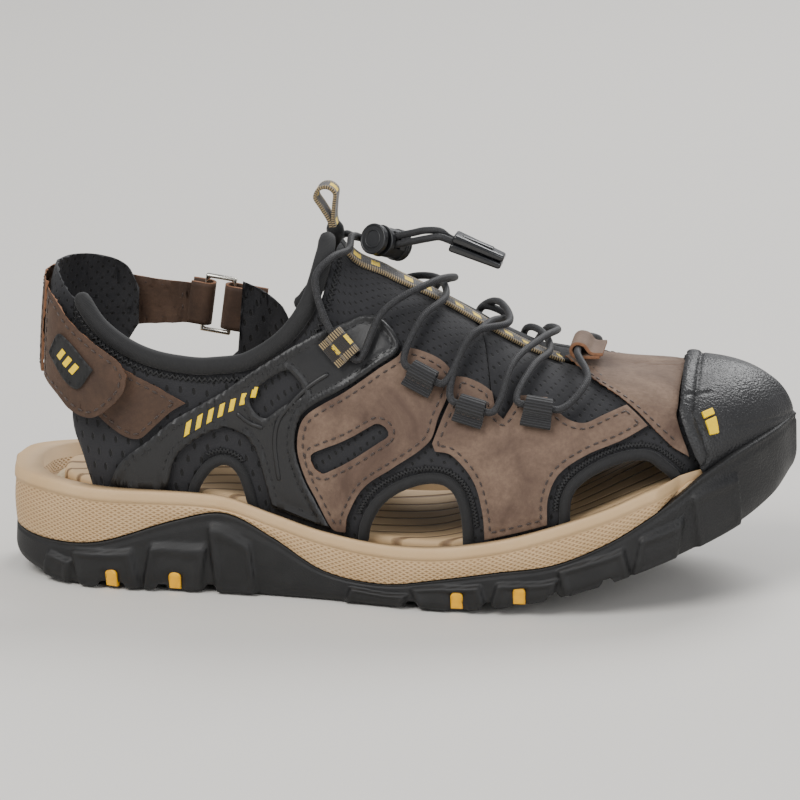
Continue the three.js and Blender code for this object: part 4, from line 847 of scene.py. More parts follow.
def laid(
    name, outline, side, top, thick, materials, body="shoe", holes=(), cell=2.0, relief=None, rim=0.35,
    step=1.5
):
    """A sheet cut to an outline and laid on the last with its upper face at lift top. relief(edge
    distance, s, v) raises its face. The wall below is Solidify's, and its rim is rounded."""
    rings = [drawn(outline, step)] + [drawn(h, step) for h in holes]
    bm = bmesh.new()
    for ring in rings:
        corners = [bm.verts.new((x, y, 0)) for x, y in ring]
        for a, b in zip(corners, corners[1:] + corners[:1]):
            bm.edges.new((a, b))
    bmesh.ops.triangle_fill(bm, use_beauty=True, use_dissolve=False, edges=bm.edges[:], normal=(0, 0, 1))
    for axis in (0, 1):
        spread = [ring[:, axis] for ring in rings]
        low, high = min(x.min() for x in spread), max(x.max() for x in spread)
        for k in range(math.floor(low / cell) + 1, math.ceil(high / cell)):
            at, way = [0, 0, 0], [0, 0, 0]
            at[axis], way[axis] = k * cell, 1
            geometry = bm.verts[:] + bm.edges[:] + bm.faces[:]
            bmesh.ops.bisect_plane(bm, geom=geometry, dist=1e-4, plane_co=at, plane_no=way)

    def gridded(edge):
        for axis in (0, 1):
            a, b = (v.co[axis] for v in edge.verts)
            if abs(a - b) < 1e-3 and abs(a / cell - round(a / cell)) < 1e-3:
                return True
        return False

    loose = [e for e in bm.edges if len(e.link_faces) == 2 and not gridded(e)]
    bmesh.ops.dissolve_edges(bm, edges=loose, use_verts=False)
    bm.verts.index_update()
    flat = np.array([v.co for v in bm.verts])
    s, v = flat[:, 0], flat[:, 1] / 100
    lift = np.full(len(s), float(top)) if np.isscalar(top) else top(s, v)
    if relief is not None:
        edges = [on_last(r[:, 0], r[:, 1] / 100, side, 2.0) for r in rings]
        lift = lift + relief(from_edge(on_last(s, v, side, 2.0), edges), s, v)
    points = on_last(s, v, side, lift) / 1000
    across = outward(s, v, side)
    uv = bm.loops.layers.uv.new("pattern")
    for vert, point in zip(bm.verts, points):
        vert.co = point
    upper = min(v.mean() + 0.02, 1)
    rise = bare_last(s.mean(), upper, side) - bare_last(s.mean(), upper - 0.04, side)
    scale = float(np.linalg.norm(rise)) / 4
    for face in bm.faces:
        face.smooth = True
        for corner in face.loops:
            i = corner.vert.index
            corner[uv].uv = (s[i], flat[i, 1] * scale)
    facing = 0.0
    for face in bm.faces:
        face.normal_update()
        facing += face.calc_area() * face.normal.dot(Vector(across[face.verts[0].index]))
    if facing < 0:
        bmesh.ops.reverse_faces(bm, faces=bm.faces)
    bmesh.ops.remove_doubles(bm, verts=bm.verts, dist=2e-6)
    piece = finished(name, bm, materials, body)
    wall = piece.modifiers.new("thickness", "SOLIDIFY")
    wall.thickness = thick / 1000
    wall.offset = -1
    wall.use_even_offset = True
    wall.thickness_clamp = 1.0
    wall.material_offset_rim = 1 if isinstance(materials, (list, tuple)) and len(materials) > 1 else 0
    if rim:
        edge = piece.modifiers.new("rounded_edge", "BEVEL")
        edge.width = rim / 1000
        edge.segments = 2
        edge.limit_method = "ANGLE"
        edge.angle_limit = math.radians(55)
    return piece


def shifted(line, distance, side):
    """Moves an open line on the last sideways by a distance in mm, to its left for +."""
    out = []
    for i, (s, v) in enumerate(line):
        a, b = line[max(i - 1, 0)], line[min(i + 1, len(line) - 1)]
        scale = float(np.linalg.norm(bare_last(s, v + 0.02, side) - bare_last(s, max(v - 0.02, 0), side)))
        per = scale / (0.02 + v if v < 0.02 else 0.04)
        way = np.array([b[0] - a[0], (b[1] - a[1]) * per])
        way /= np.linalg.norm(way)
        out.append((s - way[1] * distance, v + way[0] * distance / per))
    return out


def landed(line, v=0.0):
    """Ends a line exactly at height v by sliding its ends along their segments."""
    kept = [p for i, p in enumerate(line) if p[1] > v + 0.004 or i in (0, len(line) - 1)]
    ends = []
    for p, q in ((kept[0], kept[1]), (kept[-1], kept[-2])):
        ends.append((p[0] + (v - p[1]) * (q[0] - p[0]) / (q[1] - p[1]), v))
    return [ends[0], *kept[1:-1], ends[1]]


# Spacer mesh: black polyester knit, holes 1 mm wide in staggered rows 3.2 mm apart.
spacer_mesh, surface = finish(
    "perforated_spacer_mesh", Base_Color="#19191a", Roughness=0.85, Sheen_Weight=0.06
)
uv = add(spacer_mesh, "UVMap", {}, uv_map="pattern").outputs["UV"]
turned = add(spacer_mesh, "Mapping", {"Vector": uv, "Rotation": (0, 0, math.pi / 4)})
cells = add(
    spacer_mesh, "TexVoronoi", {"Vector": turned.outputs["Vector"], "Scale": 1 / 3.4, "Randomness": 0.0}
)
hole = add(
    spacer_mesh, "MapRange",
    {"Value": cells.outputs["Distance"], "From Min": 0.15, "From Max": 0.2, "To Min": 1.0, "To Max": 0.0},
)
knit = add(spacer_mesh, "TexVoronoi", {"Vector": uv, "Scale": 2.4, "Randomness": 0.35})
wear = add(spacer_mesh, "TexNoise", {"Vector": uv, "Scale": 0.12, "Detail": 5.0})
shade = add(spacer_mesh, "Mix", {0: wear.outputs["Fac"], 6: "#17171a", 7: "#252528"})
# Painted shade: the holes are painted near black (#020202).
tint = add(spacer_mesh, "Mix", {0: hole.outputs["Result"], 6: shade.outputs[2], 7: "#020202"})
link(spacer_mesh, tint.outputs[2], surface, "Base Color")
fine = add(spacer_mesh, "Bump", {"Height": knit.outputs["Distance"], "Distance": 0.00018, "Strength": 0.55})
relief = add(
    spacer_mesh, "Bump",
    {"Height": hole.outputs["Result"], "Distance": 0.0005, "Strength": 0.9, "Normal": fine.outputs["Normal"]},
    invert=True,
)
link(spacer_mesh, relief.outputs["Normal"], surface, "Normal")


def plump(d, s, v):
    """A padded panel's face, thinner towards its edge."""
    return -0.5 + 0.5 * np.clip(d / 6, 0, 1) ** 0.6


REAR_EDGE = {
    LATERAL: [(37, 0), (33, 0.05), (29, 0.085), (28.3, 0.125)],
    MEDIAL: [(68, 0), (69, 0.09), (84, 0.16), (86, 0.275), (101, 0.275), (104, 0.255)],
}
COLLAR_START = {LATERAL: 29, MEDIAL: 108}
BINDING_R, COLLAR_R, SEAM = 2.1, 3.3, 190
for side in (LATERAL, MEDIAL):
    word = SIDE_NAME[side]
    notches = [
        landed(shifted(w, BINDING_R - 0.7, side))[::-1]
        for w in (BALL_WINDOW, ARCH_WINDOW, TOE_WINDOW)
    ]
    collar = [p for p in shifted(COLLAR_LINE, -COLLAR_R + 0.6, side) if p[0] > COLLAR_START[side]]
    quarter = [
        *REAR_EDGE[side], *collar, (130, 0.994), (SEAM, 0.994), (SEAM, 0.3), (SEAM, 0),
        *notches[0], *notches[1],
    ]
    vamp = [
        (SEAM + 0.3, 0), (SEAM + 0.3, 0.3), (SEAM + 0.3, 0.994), (240, 0.99), (284, 0.98), (284, 0.5),
        (284, 0), *notches[2],
    ]
    for title, outline in (("quarter", quarter), ("vamp", vamp)):
        panel = laid(
            f"{title}_mesh_{word}", outline, side, LINING, LINING - 0.1, spacer_mesh, cell=2.5, relief=plump,
            rim=0
        )
        stands_for(f"{title}_lining_{word}")

# ------------------------------------------------------------------ bound edges: windows and collar
# A strip of stretch fabric is folded over a foam cord along each cut-out and along the top
# line, and overlocked down with a zigzag of black thread beside the roll.
binding_knit, surface = finish(
    "stretch_binding_fabric", Base_Color="#161617", Roughness=0.8, Sheen_Weight=0.08
)
uv = add(binding_knit, "UVMap", {}, uv_map="pattern").outputs["UV"]
ribs = add(binding_knit, "TexWave", {"Vector": uv, "Scale": 0.314 / 0.55, "Distortion": 0.6, "Detail": 1.0})
rub = add(binding_knit, "TexNoise", {"Vector": uv, "Scale": 0.25, "Detail": 5.0})
tint = add(binding_knit, "Mix", {0: rub.outputs["Fac"], 6: "#0d0d0e", 7: "#1a1a1b"})
link(binding_knit, tint.outputs[2], surface, "Base Color")
relief = add(binding_knit, "Bump", {"Height": ribs.outputs["Fac"], "Distance": 0.00012, "Strength": 0.6})
link(binding_knit, relief.outputs["Normal"], surface, "Normal")

# Bonded polyester thread, 0.5 mm, twisted: the twist shows as fine slanted lines.
black_thread, surface = finish(
    "black_polyester_thread", Base_Color="#0e0e10", Roughness=0.6, Sheen_Weight=0.05
)
place_in = add(black_thread, "TexCoord", {}).outputs["Object"]
twist = add(black_thread, "TexWave", {"Vector": place_in, "Scale": 700.0}, bands_direction="DIAGONAL")
relief = add(black_thread, "Bump", {"Height": twist.outputs["Fac"], "Distance": 0.00006, "Strength": 0.6})
link(black_thread, relief.outputs["Normal"], surface, "Normal")


def sew(bm, line, side, lift, long=2.3, gap=1.0, wide=0.42, slant=0.0, high=0.3):
    """Stitches along a line (mm, 100 x height) on the last, each a slim bead of thread."""
    line = np.asarray(line, float)
    points = on_last(line[:, 0], line[:, 1] / 100, side, lift)
    normals = outward(line[:, 0], line[:, 1] / 100, side)
    gone = np.concatenate([[0], np.cumsum(np.linalg.norm(np.diff(points, axis=0), axis=1))])
    count = int((gone[-1] - long) / (long * math.cos(slant) ** 2 + gap) + 1) if gone[-1] > long else 0
    for k in range(count):
        at = long / 2 + k * (gone[-1] - long) / max(count - 1, 1)
        p = Vector([np.interp(at, gone, points[:, c]) for c in range(3)])
        ahead = Vector([
            np.interp(at + 0.5, gone, points[:, c]) - np.interp(at - 0.5, gone, points[:, c])
            for c in range(3)
        ])
        up = Vector([np.interp(at, gone, normals[:, c]) for c in range(3)]).normalized()
        ahead = (ahead - up * ahead.dot(up)).normalized()
        turn = slant * (1 if k % 2 else -1)
        aside = up.cross(ahead)
        way = ahead * math.cos(turn) + aside * math.sin(turn)
        basis = Matrix((way, up.cross(way), up)).transposed().to_4x4()
        basis.translation = p
        size = Matrix.Diagonal((long / 2, wide, high, 1))
        bmesh.ops.create_uvsphere(
            bm, u_segments=6, v_segments=4, radius=1, matrix=Matrix.Scale(0.001, 4) @ basis @ size
        )


def thread_piece(name, bm, material, body="shoe"):
    for face in bm.faces:
        face.smooth = True
    piece = finished(name, bm, material, body)
    return piece


zigzag = bmesh.new()
for side in (LATERAL, MEDIAL):
    word = SIDE_NAME[side]
    for title, window in (("arch", ARCH_WINDOW), ("ball", BALL_WINDOW), ("toe", TOE_WINDOW)):
        line = drawn(window, 1.0, closed=False, corner=75)
        points = on_last(line[:, 0], line[:, 1] / 100, side, LINING / 2 + 0.25)
        points[0, 2] += 1.2
        points[-1, 2] += 1.2
        roll = swept(f"{title}_window_roll_{word}", points, BINDING_R, binding_knit, "shoe", sides=18)
        stands_for(f"{title}_window_binding_{word}")
        beside = np.array(shifted([(x, y / 100) for x, y in line[2:-2:2]], BINDING_R + 1.5, side)) * (1, 100)
        beside = beside[beside[:, 1] > 6]
        sew(zigzag, beside, side, LINING + 0.05, long=3.0, gap=-0.35, wide=0.36, slant=0.95, high=0.36)
    start = [] if side == LATERAL else [(105.8, 0.3)]
    route = start + [p for p in COLLAR_LINE if p[0] > COLLAR_START[side]] + [(125, 0.87)]
    line = drawn(route, 1.6, closed=False, corner=80)
    points = on_last(line[:, 0], line[:, 1] / 100, side, LINING / 2)
    collar_roll = swept(f"collar_roll_{word}", points, COLLAR_R, binding_knit, "shoe", sides=24)
    stands_for(f"collar_{word}")
    beside = np.array(shifted([(x, y / 100) for x, y in line[1:-1:2]], -COLLAR_R - 1.6, side)) * (1, 100)
    sew(zigzag, beside, side, LINING + 0.1, long=3.4, gap=-0.3, wide=0.42, slant=0.9, high=0.42)
thread_piece("overlock_stitches", zigzag, black_thread)

# ------------------------------------------------------------------ heel pad
# A cushion behind the heel, under the back strap: 5 mm of foam in the same spacer mesh as the
# lining, fullest in the middle and pinched at its bound edge.
HEEL_PAD = [
    (27.5, 0.13), (27, 0.27), (10, 0.305), (-10, 0.305), (-30, 0.295), (-42, 0.275), (-47, 0.24),
    (-47, 0.185), (-40, 0.15), (-20, 0.14), (10, 0.14),
]
cushion = laid(
    "heel_cushion", HEEL_PAD, LATERAL, 1.7, 4.6, spacer_mesh, cell=2.5, rim=1.2,
    relief=lambda d, s, v: 0.1 - 1.6 * np.clip(1 - d / 7, 0, 1) ** 1.5,
)
stands_for("heel_pad")

# ------------------------------------------------------------------ moulded side supports
# Thermoplastic overlays, one each side: satin black, with a raised welt round every edge, a
# slot, two pressed lines and a row of plain yellow bars pad-printed on a low relief.
FOOT = -1  # marks a point of an outline that ends at the sole's rim
SUPPORT_EDGE = [
    (45, FOOT), (49, 0.045), (53, 0.06), (60, 0.08), (69, 0.11), (80, 0.14), (91, 0.18), (104, 0.26),
    (115, 0.36), (126, 0.49), (132, 0.56), (139, 0.63), (146, 0.655), (152, 0.62), (155, 0.58),
    (153, 0.54), (145, 0.47), (134, 0.38), (123, 0.28), (117, 0.22), (115, 0.18), (115, 0.14),
    (118, 0.1), (122, 0.07), (128, FOOT),
]
SUPPORT_ARCH = [
    (106, FOOT), (102.5, 0.07), (100, 0.1), (95, 0.115), (89, 0.115), (82, 0.1), (75, 0.08), (70, 0.06),
    (66, FOOT),
]
SUPPORT_SLOT = ((101.5, 0.175), (114, 0.27), 7.5)
TOP = LIFT + OVERLAY


def foot_of(s, side, clear=0.3):
    """The height at which an overlay ends, just below the top of the sole's rim."""
    low, high = 0.0, 0.4
    rim = float(max(through(RIM_TOP, s), through(WAVE, s)))
    for _ in range(18):
        v = (low + high) / 2
        if float(on_last(s, v, side, LIFT)[2]) < rim + clear:
            low = v
        else:
            high = v
    return high


def lifted(outline, side):
    return [(s, foot_of(s, side) if v == FOOT else v) for s, v in outline]


def capsule(slot, side):
    """A round-ended slot between two points of the last."""
    (s0, v0), (s1, v1), width = slot
    per = float(np.linalg.norm(bare_last(s0, v0, side) - bare_last(s0, v0 + 0.05, side))) / 0.05
    turn = math.atan2((v1 - v0) * per, s1 - s0)
    out = []
    for s, v, start in ((s1, v1, turn - math.pi / 2), (s0, v0, turn + math.pi / 2)):
        for i in range(7):
            a = start + i * math.pi / 6
            out.append((s + width / 2 * math.cos(a), v + width / 2 * math.sin(a) / per))
    return out


def inside(outline, side, distance, above=0.0, hole=False):
    """Lines that follow an outline at a distance inside it (outside a hole), above a height."""
    ring = drawn(outline, 0.8)
    s, v = ring[:, 0], ring[:, 1] / 100
    e_s = (bare_last(s + 0.25, v, side) - bare_last(s - 0.25, v, side)) / 0.5
    e_v = (bare_last(s, v + 0.0025, side) - bare_last(s, v - 0.0025, side)) / 0.5
    step = np.roll(ring, -1, axis=0) - np.roll(ring, 1, axis=0)
    area = float((ring[:, 0] * np.roll(ring[:, 1], -1) - np.roll(ring[:, 0], -1) * ring[:, 1]).sum())
    turn = np.sign(area) * (-1 if hole else 1)
    along = e_s * step[:, :1] + e_v * step[:, 1:]
    across = e_s * (-step[:, 1:] * turn) + e_v * (step[:, :1] * turn)
    across -= along * ((across * along).sum(1) / (along * along).sum(1))[:, None]
    across /= np.linalg.norm(across, axis=1)[:, None]
    a, b, c = (e_s * e_s).sum(1), (e_s * e_v).sum(1), (e_v * e_v).sum(1)
    p, q = (across * e_s).sum(1), (across * e_v).sum(1)
    det = a * c - b * b
    moved = ring + distance * np.stack([(p * c - q * b) / det, (q * a - p * b) / det], 1)
    here, edge = bare_last(moved[:, 0], moved[:, 1] / 100, side), bare_last(s, v, side)
    near = np.array([np.min(np.linalg.norm(edge - x, axis=1)) for x in here])
    good = (near > 0.9 * distance) & (moved[:, 1] / 100 > above)
    if good.all():
        return [np.vstack([moved, moved[:1]])]
    start = int(np.argmin(good))
    moved, good = np.roll(moved, -start, axis=0), np.roll(good, -start)
    lines, current = [], []
    for point, keep in zip(moved, good):
        if keep:
            current.append(point)
        elif current:
            lines.append(np.array(current))
            current = []
    if current:
        lines.append(np.array(current))
    return [x for x in lines if len(x) > 5]


# TPU: injection moulded against a spark-eroded tool, so satin with a very fine grain.
moulded_tpu, surface = finish(
    "moulded_black_tpu", Base_Color="#1f2022", Roughness=0.42, Specular_IOR_Level=0.5
)
place_in = add(moulded_tpu, "TexCoord", {}).outputs["Object"]
spark = add(moulded_tpu, "TexNoise", {"Vector": place_in, "Scale": 2600.0, "Detail": 2.0})
handled = add(moulded_tpu, "TexNoise", {"Vector": place_in, "Scale": 70.0, "Detail": 6.0})
shine = add(
    moulded_tpu, "MapRange",
    {"Value": handled.outputs["Fac"], "From Min": 0.3, "From Max": 0.7, "To Min": 0.36, "To Max": 0.52},
)
link(moulded_tpu, shine.outputs["Result"], surface, "Roughness")
tint = add(moulded_tpu, "Mix", {0: handled.outputs["Fac"], 6: "#131314", 7: "#1f1f20"})
link(moulded_tpu, tint.outputs[2], surface, "Base Color")
relief = add(moulded_tpu, "Bump", {"Height": spark.outputs["Fac"], "Distance": 0.00007, "Strength": 0.6})
link(moulded_tpu, relief.outputs["Normal"], surface, "Normal")

# Pad-printed polyurethane ink over a low relief: warm yellow, slightly uneven, faintly glossy.
yellow_ink, surface = finish(
    "yellow_printed_rubber", Base_Color="#f0c020", Roughness=0.42, Specular_IOR_Level=0.45
)
place_in = add(yellow_ink, "TexCoord", {}).outputs["Object"]
mottle = add(yellow_ink, "TexNoise", {"Vector": place_in, "Scale": 500.0, "Detail": 4.0})
tint = add(yellow_ink, "Mix", {0: mottle.outputs["Fac"], 6: "#fbd800", 7: "#eec200"})
link(yellow_ink, tint.outputs[2], surface, "Base Color")
relief = add(yellow_ink, "Bump", {"Height": mottle.outputs["Fac"], "Distance": 0.00008, "Strength": 0.5})
link(yellow_ink, relief.outputs["Normal"], surface, "Normal")


def welt(d, s, v):
    """A raised welt 0.9 mm wide along the edge, with a fine groove inside it."""
    return 0.6 * swell(d, 0.5, 1.9, 0.7) - 0.35 * swell(d, 2.5, 3.3, 0.7) - 0.5 * np.clip(0.5 - d, 0, 0.5)


def ribbon_line(name, points, side, lift, radius, material, body="shoe"):
    """A raised line moulded on the surface, through points (station, height)."""
    line = drawn(points, 1.0, closed=False)
    path = on_last(line[:, 0], line[:, 1] / 100, side, lift)
    return swept(name, path, radius, material, body, sides=10)


moulded_seams = bmesh.new()
for side in (LATERAL, MEDIAL):
    word = SIDE_NAME[side]
    outline = lifted(SUPPORT_EDGE + SUPPORT_ARCH, side)
    slot = capsule(SUPPORT_SLOT, side)
    support = laid(
        f"support_moulding_{word}", outline, side, TOP, OVERLAY, moulded_tpu, holes=[slot], cell=0.9,
        relief=welt, rim=0.3, step=0.9,
    )
    stands_for(f"side_support_{word}")
    around = inside(outline, side, 2.9, above=foot_of(88, side) + 0.014)
    for line in around + inside(slot, side, 2.9, hole=True):
        sew(moulded_seams, line, side, TOP - 0.2, long=2.0, gap=1.1, wide=0.3, high=0.26)
    for k, points in enumerate((
        [(127, 0.375), (120, 0.3), (113.5, 0.228), (108.5, 0.172), (107.3, 0.13), (109, 0.07)],
        [(93, 0.143), (98, 0.138), (103, 0.143)],
    )):
        rib = ribbon_line(f"support_rib_{word}_{k + 1}", points, side, TOP - 0.3, 0.95, moulded_tpu)
    ink = bmesh.new()
    for k in range(7):
        s0 = 75.0 + 4.1 * k
        v0 = float(np.interp(s0, (74, 82, 90.5, 96, 101), (0.1, 0.122, 0.148, 0.172, 0.2)))
        bar = [(s0 - 1.5, v0 - 0.013), (s0 + 0.5, v0 - 0.007), (s0 + 1.5, v0 + 0.014), (s0 - 0.5, v0 + 0.008)]
        line = np.array(bar) * (1, 100)
        corners = []
        for lift in (TOP - 0.2, TOP + 0.35):
            corners.append([
                ink.verts.new(p / 1000) for p in on_last(line[:, 0], line[:, 1] / 100, side, lift)
            ])
        face = ink.faces.new(corners[0])
        top = ink.faces.new(corners[1][::-1])
        bmesh.ops.bridge_loops(ink, edges=list(face.edges) + list(top.edges))
    bmesh.ops.recalc_face_normals(ink, faces=ink.faces)
    bmesh.ops.bevel(
        ink, geom=ink.edges[:], offset=0.0002, offset_type="OFFSET", segments=2, profile=0.5, affect="EDGES",
        material=-1
    )
    for face in ink.faces:
        face.smooth = True
    bars = finished(f"support_bars_{word}", ink, yellow_ink, "shoe")

thread_piece("support_stitches", moulded_seams, black_thread)

# ------------------------------------------------------------------ nubuck overlays
# Brown oiled nubuck, 1.6 mm, split and die cut: two panels each side, with a long slot, notches
# under the lace loops and one row of dark stitching 2.2 mm inside every edge.
def hide(name, dark, pale, deep, sheen, warm, patch_scale, nap_scale):
    """Oiled nubuck: cloudy patches of two tones, a fine nap over them and a soft sheen."""
    material, surface = finish(name, Base_Color=dark, Roughness=0.8, Sheen_Weight=sheen)
    surface.inputs["Sheen Roughness"].default_value = 0.45
    surface.inputs["Sheen Tint"].default_value = linear(warm)
    place_in = add(material, "TexCoord", {}).outputs["Object"]
    patches = add(
        material, "TexNoise",
        {"Vector": place_in, "Scale": patch_scale, "Detail": 9.0, "Roughness": 0.62, "Distortion": 0.6},
    )
    nap = add(material, "TexNoise", {"Vector": place_in, "Scale": nap_scale, "Detail": 6.0, "Roughness": 0.7})
    brushed = add(
        material, "Mapping", {"Vector": place_in, "Rotation": (0.3, 0.5, 0.9), "Scale": (260.0, 900.0, 520.0)}
    )
    scuffs = add(material, "TexNoise", {"Vector": brushed.outputs["Vector"], "Scale": 1.0, "Detail": 4.0})
    worn = add(
        material, "MapRange",
        {"Value": patches.outputs["Fac"], "From Min": 0.34, "From Max": 0.68, "To Min": 0.0, "To Max": 1.0},
    )
    base = add(material, "Mix", {0: worn.outputs["Result"], 6: dark, 7: pale})
    fibres = add(
        material, "MapRange",
        {"Value": nap.outputs["Fac"], "From Min": 0.35, "From Max": 0.65, "To Min": 0.0, "To Max": 0.4},
    )
    tint = add(material, "Mix", {0: fibres.outputs["Result"], 6: base.outputs[2], 7: deep})
    link(material, tint.outputs[2], surface, "Base Color")
    grain = add(material, "Math", {0: nap.outputs["Fac"], 1: scuffs.outputs["Fac"]}, operation="ADD")
    relief = add(material, "Bump", {"Height": grain.outputs["Value"], "Distance": 0.00022, "Strength": 0.6})
    link(material, relief.outputs["Normal"], surface, "Normal")
    return material


nubuck = hide("brown_oiled_nubuck", "#4d3a2f", "#7c6655", "#49362c", 0.16, "#d9c2ac", 42.0, 620.0)

# Raw die-cut edge of the same hide: undyed orange-brown fibre.
cut_edge, surface = finish("raw_leather_edge", Base_Color="#9a6238", Roughness=0.85)
place_in = add(cut_edge, "TexCoord", {}).outputs["Object"]
fibre_noise = add(cut_edge, "TexNoise", {"Vector": place_in, "Scale": 900.0, "Detail": 5.0})
tint = add(cut_edge, "Mix", {0: fibre_noise.outputs["Fac"], 6: "#68452f", 7: "#8f6446"})
link(cut_edge, tint.outputs[2], surface, "Base Color")
relief = add(cut_edge, "Bump", {"Height": fibre_noise.outputs["Fac"], "Distance": 0.0002, "Strength": 0.8})
link(cut_edge, relief.outputs["Normal"], surface, "Normal")

# Dark brown bonded thread, 0.6 mm, in 2.4 mm stitches that sink into the nap.
brown_thread, surface = finish("dark_brown_thread", Base_Color="#2a1d16", Roughness=0.55, Sheen_Weight=0.2)
place_in = add(brown_thread, "TexCoord", {}).outputs["Object"]
twist = add(brown_thread, "TexWave", {"Vector": place_in, "Scale": 700.0}, bands_direction="DIAGONAL")
# Painted light and shade: the ridges of the twist are painted lighter (#3c2a20), the furrows darker
# (#20150f).
tint = add(brown_thread, "Mix", {0: twist.outputs["Fac"], 6: "#20150f", 7: "#3c2a20"})
link(brown_thread, tint.outputs[2], surface, "Base Color")
relief = add(brown_thread, "Bump", {"Height": twist.outputs["Fac"], "Distance": 0.00006, "Strength": 0.6})
link(brown_thread, relief.outputs["Normal"], surface, "Normal")

STITCH_IN = 2.2
LEATHER_SLOT = ((124, 0.15), (147, 0.295), 6.5)


def sewn_leather(d, s, v):
    """The face of a sewn panel: drawn down along the stitches, fuller between them."""
    return (
        0.25 * np.clip((d - STITCH_IN) / 7, 0, 1) ** 0.5
        - 0.3 * swell(d, STITCH_IN - 0.5, STITCH_IN + 0.5, 0.9)
        - 0.12 * np.clip(0.8 - d, 0, 0.8)
    )


seams = bmesh.new()
for side in (LATERAL, MEDIAL):
    word = SIDE_NAME[side]
    front = lifted(SUPPORT_EDGE, side)[15:]
    low = foot_of(129, side)
    rear = shifted(front, 1.0, side)
    rear = [rear[0], *landed(rear, low)[1:]][::-1]
    ball = landed(shifted(BALL_WINDOW, 6.5, side), foot_of(134, side))
    quarter = [
        *rear, (157, 0.575), (164, 0.585), (171, 0.575), (175.5, 0.545), (173, 0.46), (169, 0.38),
        (165.5, 0.305), *ball[:4][::-1],
    ]
    slot = capsule(LEATHER_SLOT, side)
    panel = laid(
        f"quarter_nubuck_{word}", quarter, side, TOP, OVERLAY, [nubuck, cut_edge], holes=[slot], cell=1.2,
        relief=sewn_leather, step=1.0,
    )
    stands_for(f"quarter_leather_{word}")
    around = inside(quarter, side, STITCH_IN, above=low + 0.012)
    for line in around + inside(slot, side, STITCH_IN, hole=True):
        sew(seams, line, side, TOP + 0.02)
    forefoot = lifted([
        (176.5, 0.535), (181, 0.545), (187, 0.54), (190.5, 0.525), (192, 0.45), (194.5, 0.43), (198, 0.49),
        (201, 0.545), (213, 0.575), (216, 0.52), (221, 0.47), (227, 0.455), (234, 0.49), (246.3, 0.56),
        (248.6, 0.49), (251, 0.405), (240, 0.345), (226, 0.3), (215, 0.235), (210.5, 0.15), (210, FOOT),
        (186.5, FOOT), (185.5, 0.12), (182, 0.21), (174, 0.275), (167.5, 0.28), (166.5, 0.3), (170.2, 0.375),
        (174.2, 0.455),
    ], side)
    panel = laid(
        f"forefoot_nubuck_{word}", forefoot, side, TOP, OVERLAY, [nubuck, cut_edge], cell=1.2,
        relief=sewn_leather, step=1.0,
    )
    stands_for(f"forefoot_leather_{word}")
    for line in inside(forefoot, side, STITCH_IN, above=foot_of(198, side) + 0.012):
        sew(seams, line, side, TOP + 0.02)

# ------------------------------------------------------------------ toe strap and its lace roll
# A saddle of the same nubuck over the toes. Its rear end is rolled back round the lace, like
# a belt loop, and sewn across.
TOE_STRAP_EDGE = [
    (235, 0.86), (238, 0.76), (244.5, 0.64), (249, 0.52), (253.5, 0.36), (258, 0.24), (262, 0.15)
]
CAP_X = 105


def transverse(x):
    """The part of a line across the toes at x, from the outer side to the middle."""
    out = []
    for s in (266, 271, 277, 284, 293, 304, LAST_END):
        low, high = 0.35, 0.99
        for _ in range(18):
            v = (low + high) / 2
            if float(on_last(s, v, LATERAL, TOP)[0]) > x:
                low = v
            else:
                high = v
        out.append((s, low))
    return out


outer = TOE_STRAP_EDGE[:-1] + [(263.2, 0.16), (262.2, 0.3), (263.4, 0.43)] + transverse(CAP_X - 0.2)
strap_outline = [(234, 1.0)] + outer + [(s, 2 - v) for s, v in outer][::-1]
toe_strap = laid(
    "toe_strap_nubuck", strap_outline, LATERAL, TOP, OVERLAY, [nubuck, cut_edge], cell=1.5,
    relief=sewn_leather, step=1.2
)
stands_for("toe_strap")
for side in (LATERAL, MEDIAL):
    edge = drawn(
        [(236.5, 0.85), (240, 0.76), (246.5, 0.645), (251, 0.525), (255.3, 0.38), (259, 0.28)], 0.8,
        closed=False
    )
    sew(seams, edge, side, TOP + 0.02)
sew(seams, [(243, 80), (243, 90), (243, 99)], LATERAL, TOP + 0.1)
sew(seams, [(243, 80), (243, 90), (243, 99)], MEDIAL, TOP + 0.1)


def folded_loop(name, frame_of, tail, eye, thick, width, materials, measure=None, flare=0.0, body="shoe"):
    """A strip folded round a lace: up from its sewn tail, round the eye and back to the tail. The
    frame's x runs along the lace, y up the strip and z outwards; measures are in mm."""
    r = eye + thick / 2
    rise = eye + thick
    turn = np.linspace(math.radians(112), math.radians(-90), 16)
    path = [(-tail - 1.2, thick * 1.3), (-tail * 0.6, thick * 1.5 + 0.3), (-r * 0.9, rise + r * 0.72)]
    path += [(r * math.cos(a), rise + r * math.sin(a)) for a in turn]
    path += [(-tail * 0.5, thick / 2), (-tail, thick / 2)]
    path = curve_through([(0, y, z) for y, z in path], 0.5)[:, 1:]
    gone = np.concatenate([[0], np.cumsum(np.linalg.norm(np.diff(path, axis=0), axis=1))])
    n, m = len(path) - 1, 10
    origin, x_way, y_way, z_way = (np.array(a, float) for a in frame_of)
    wide = width * (1 - flare * np.clip((path[:, 0] + tail) / (tail + rise), 0, 1)) / 2

    def place(u, w):
        i = np.round(u * n).astype(int)
        across = (2 * w - 1) * wide[i]
        return origin + x_way * across[:, None] + y_way * path[i, :1] + z_way * path[i, 1:]

    def pattern(u, w):
        i = np.round(u * n).astype(int)
        return gone[i], (w - 0.5) * width

    strip = shaped_grid(name, n, m, place, measure or pattern, materials, body)
    wall = strip.modifiers.new("thickness", "SOLIDIFY")
    wall.thickness = thick / 1000
    wall.offset = 0
    wall.material_offset_rim = 1 if isinstance(materials, (list, tuple)) and len(materials) > 1 else 0
    soft = strip.modifiers.new("soft_edge", "BEVEL")
    soft.width = 0.00025
    soft.segments = 2
    soft.limit_method = "ANGLE"
    soft.angle_limit = math.radians(60)
    return strip


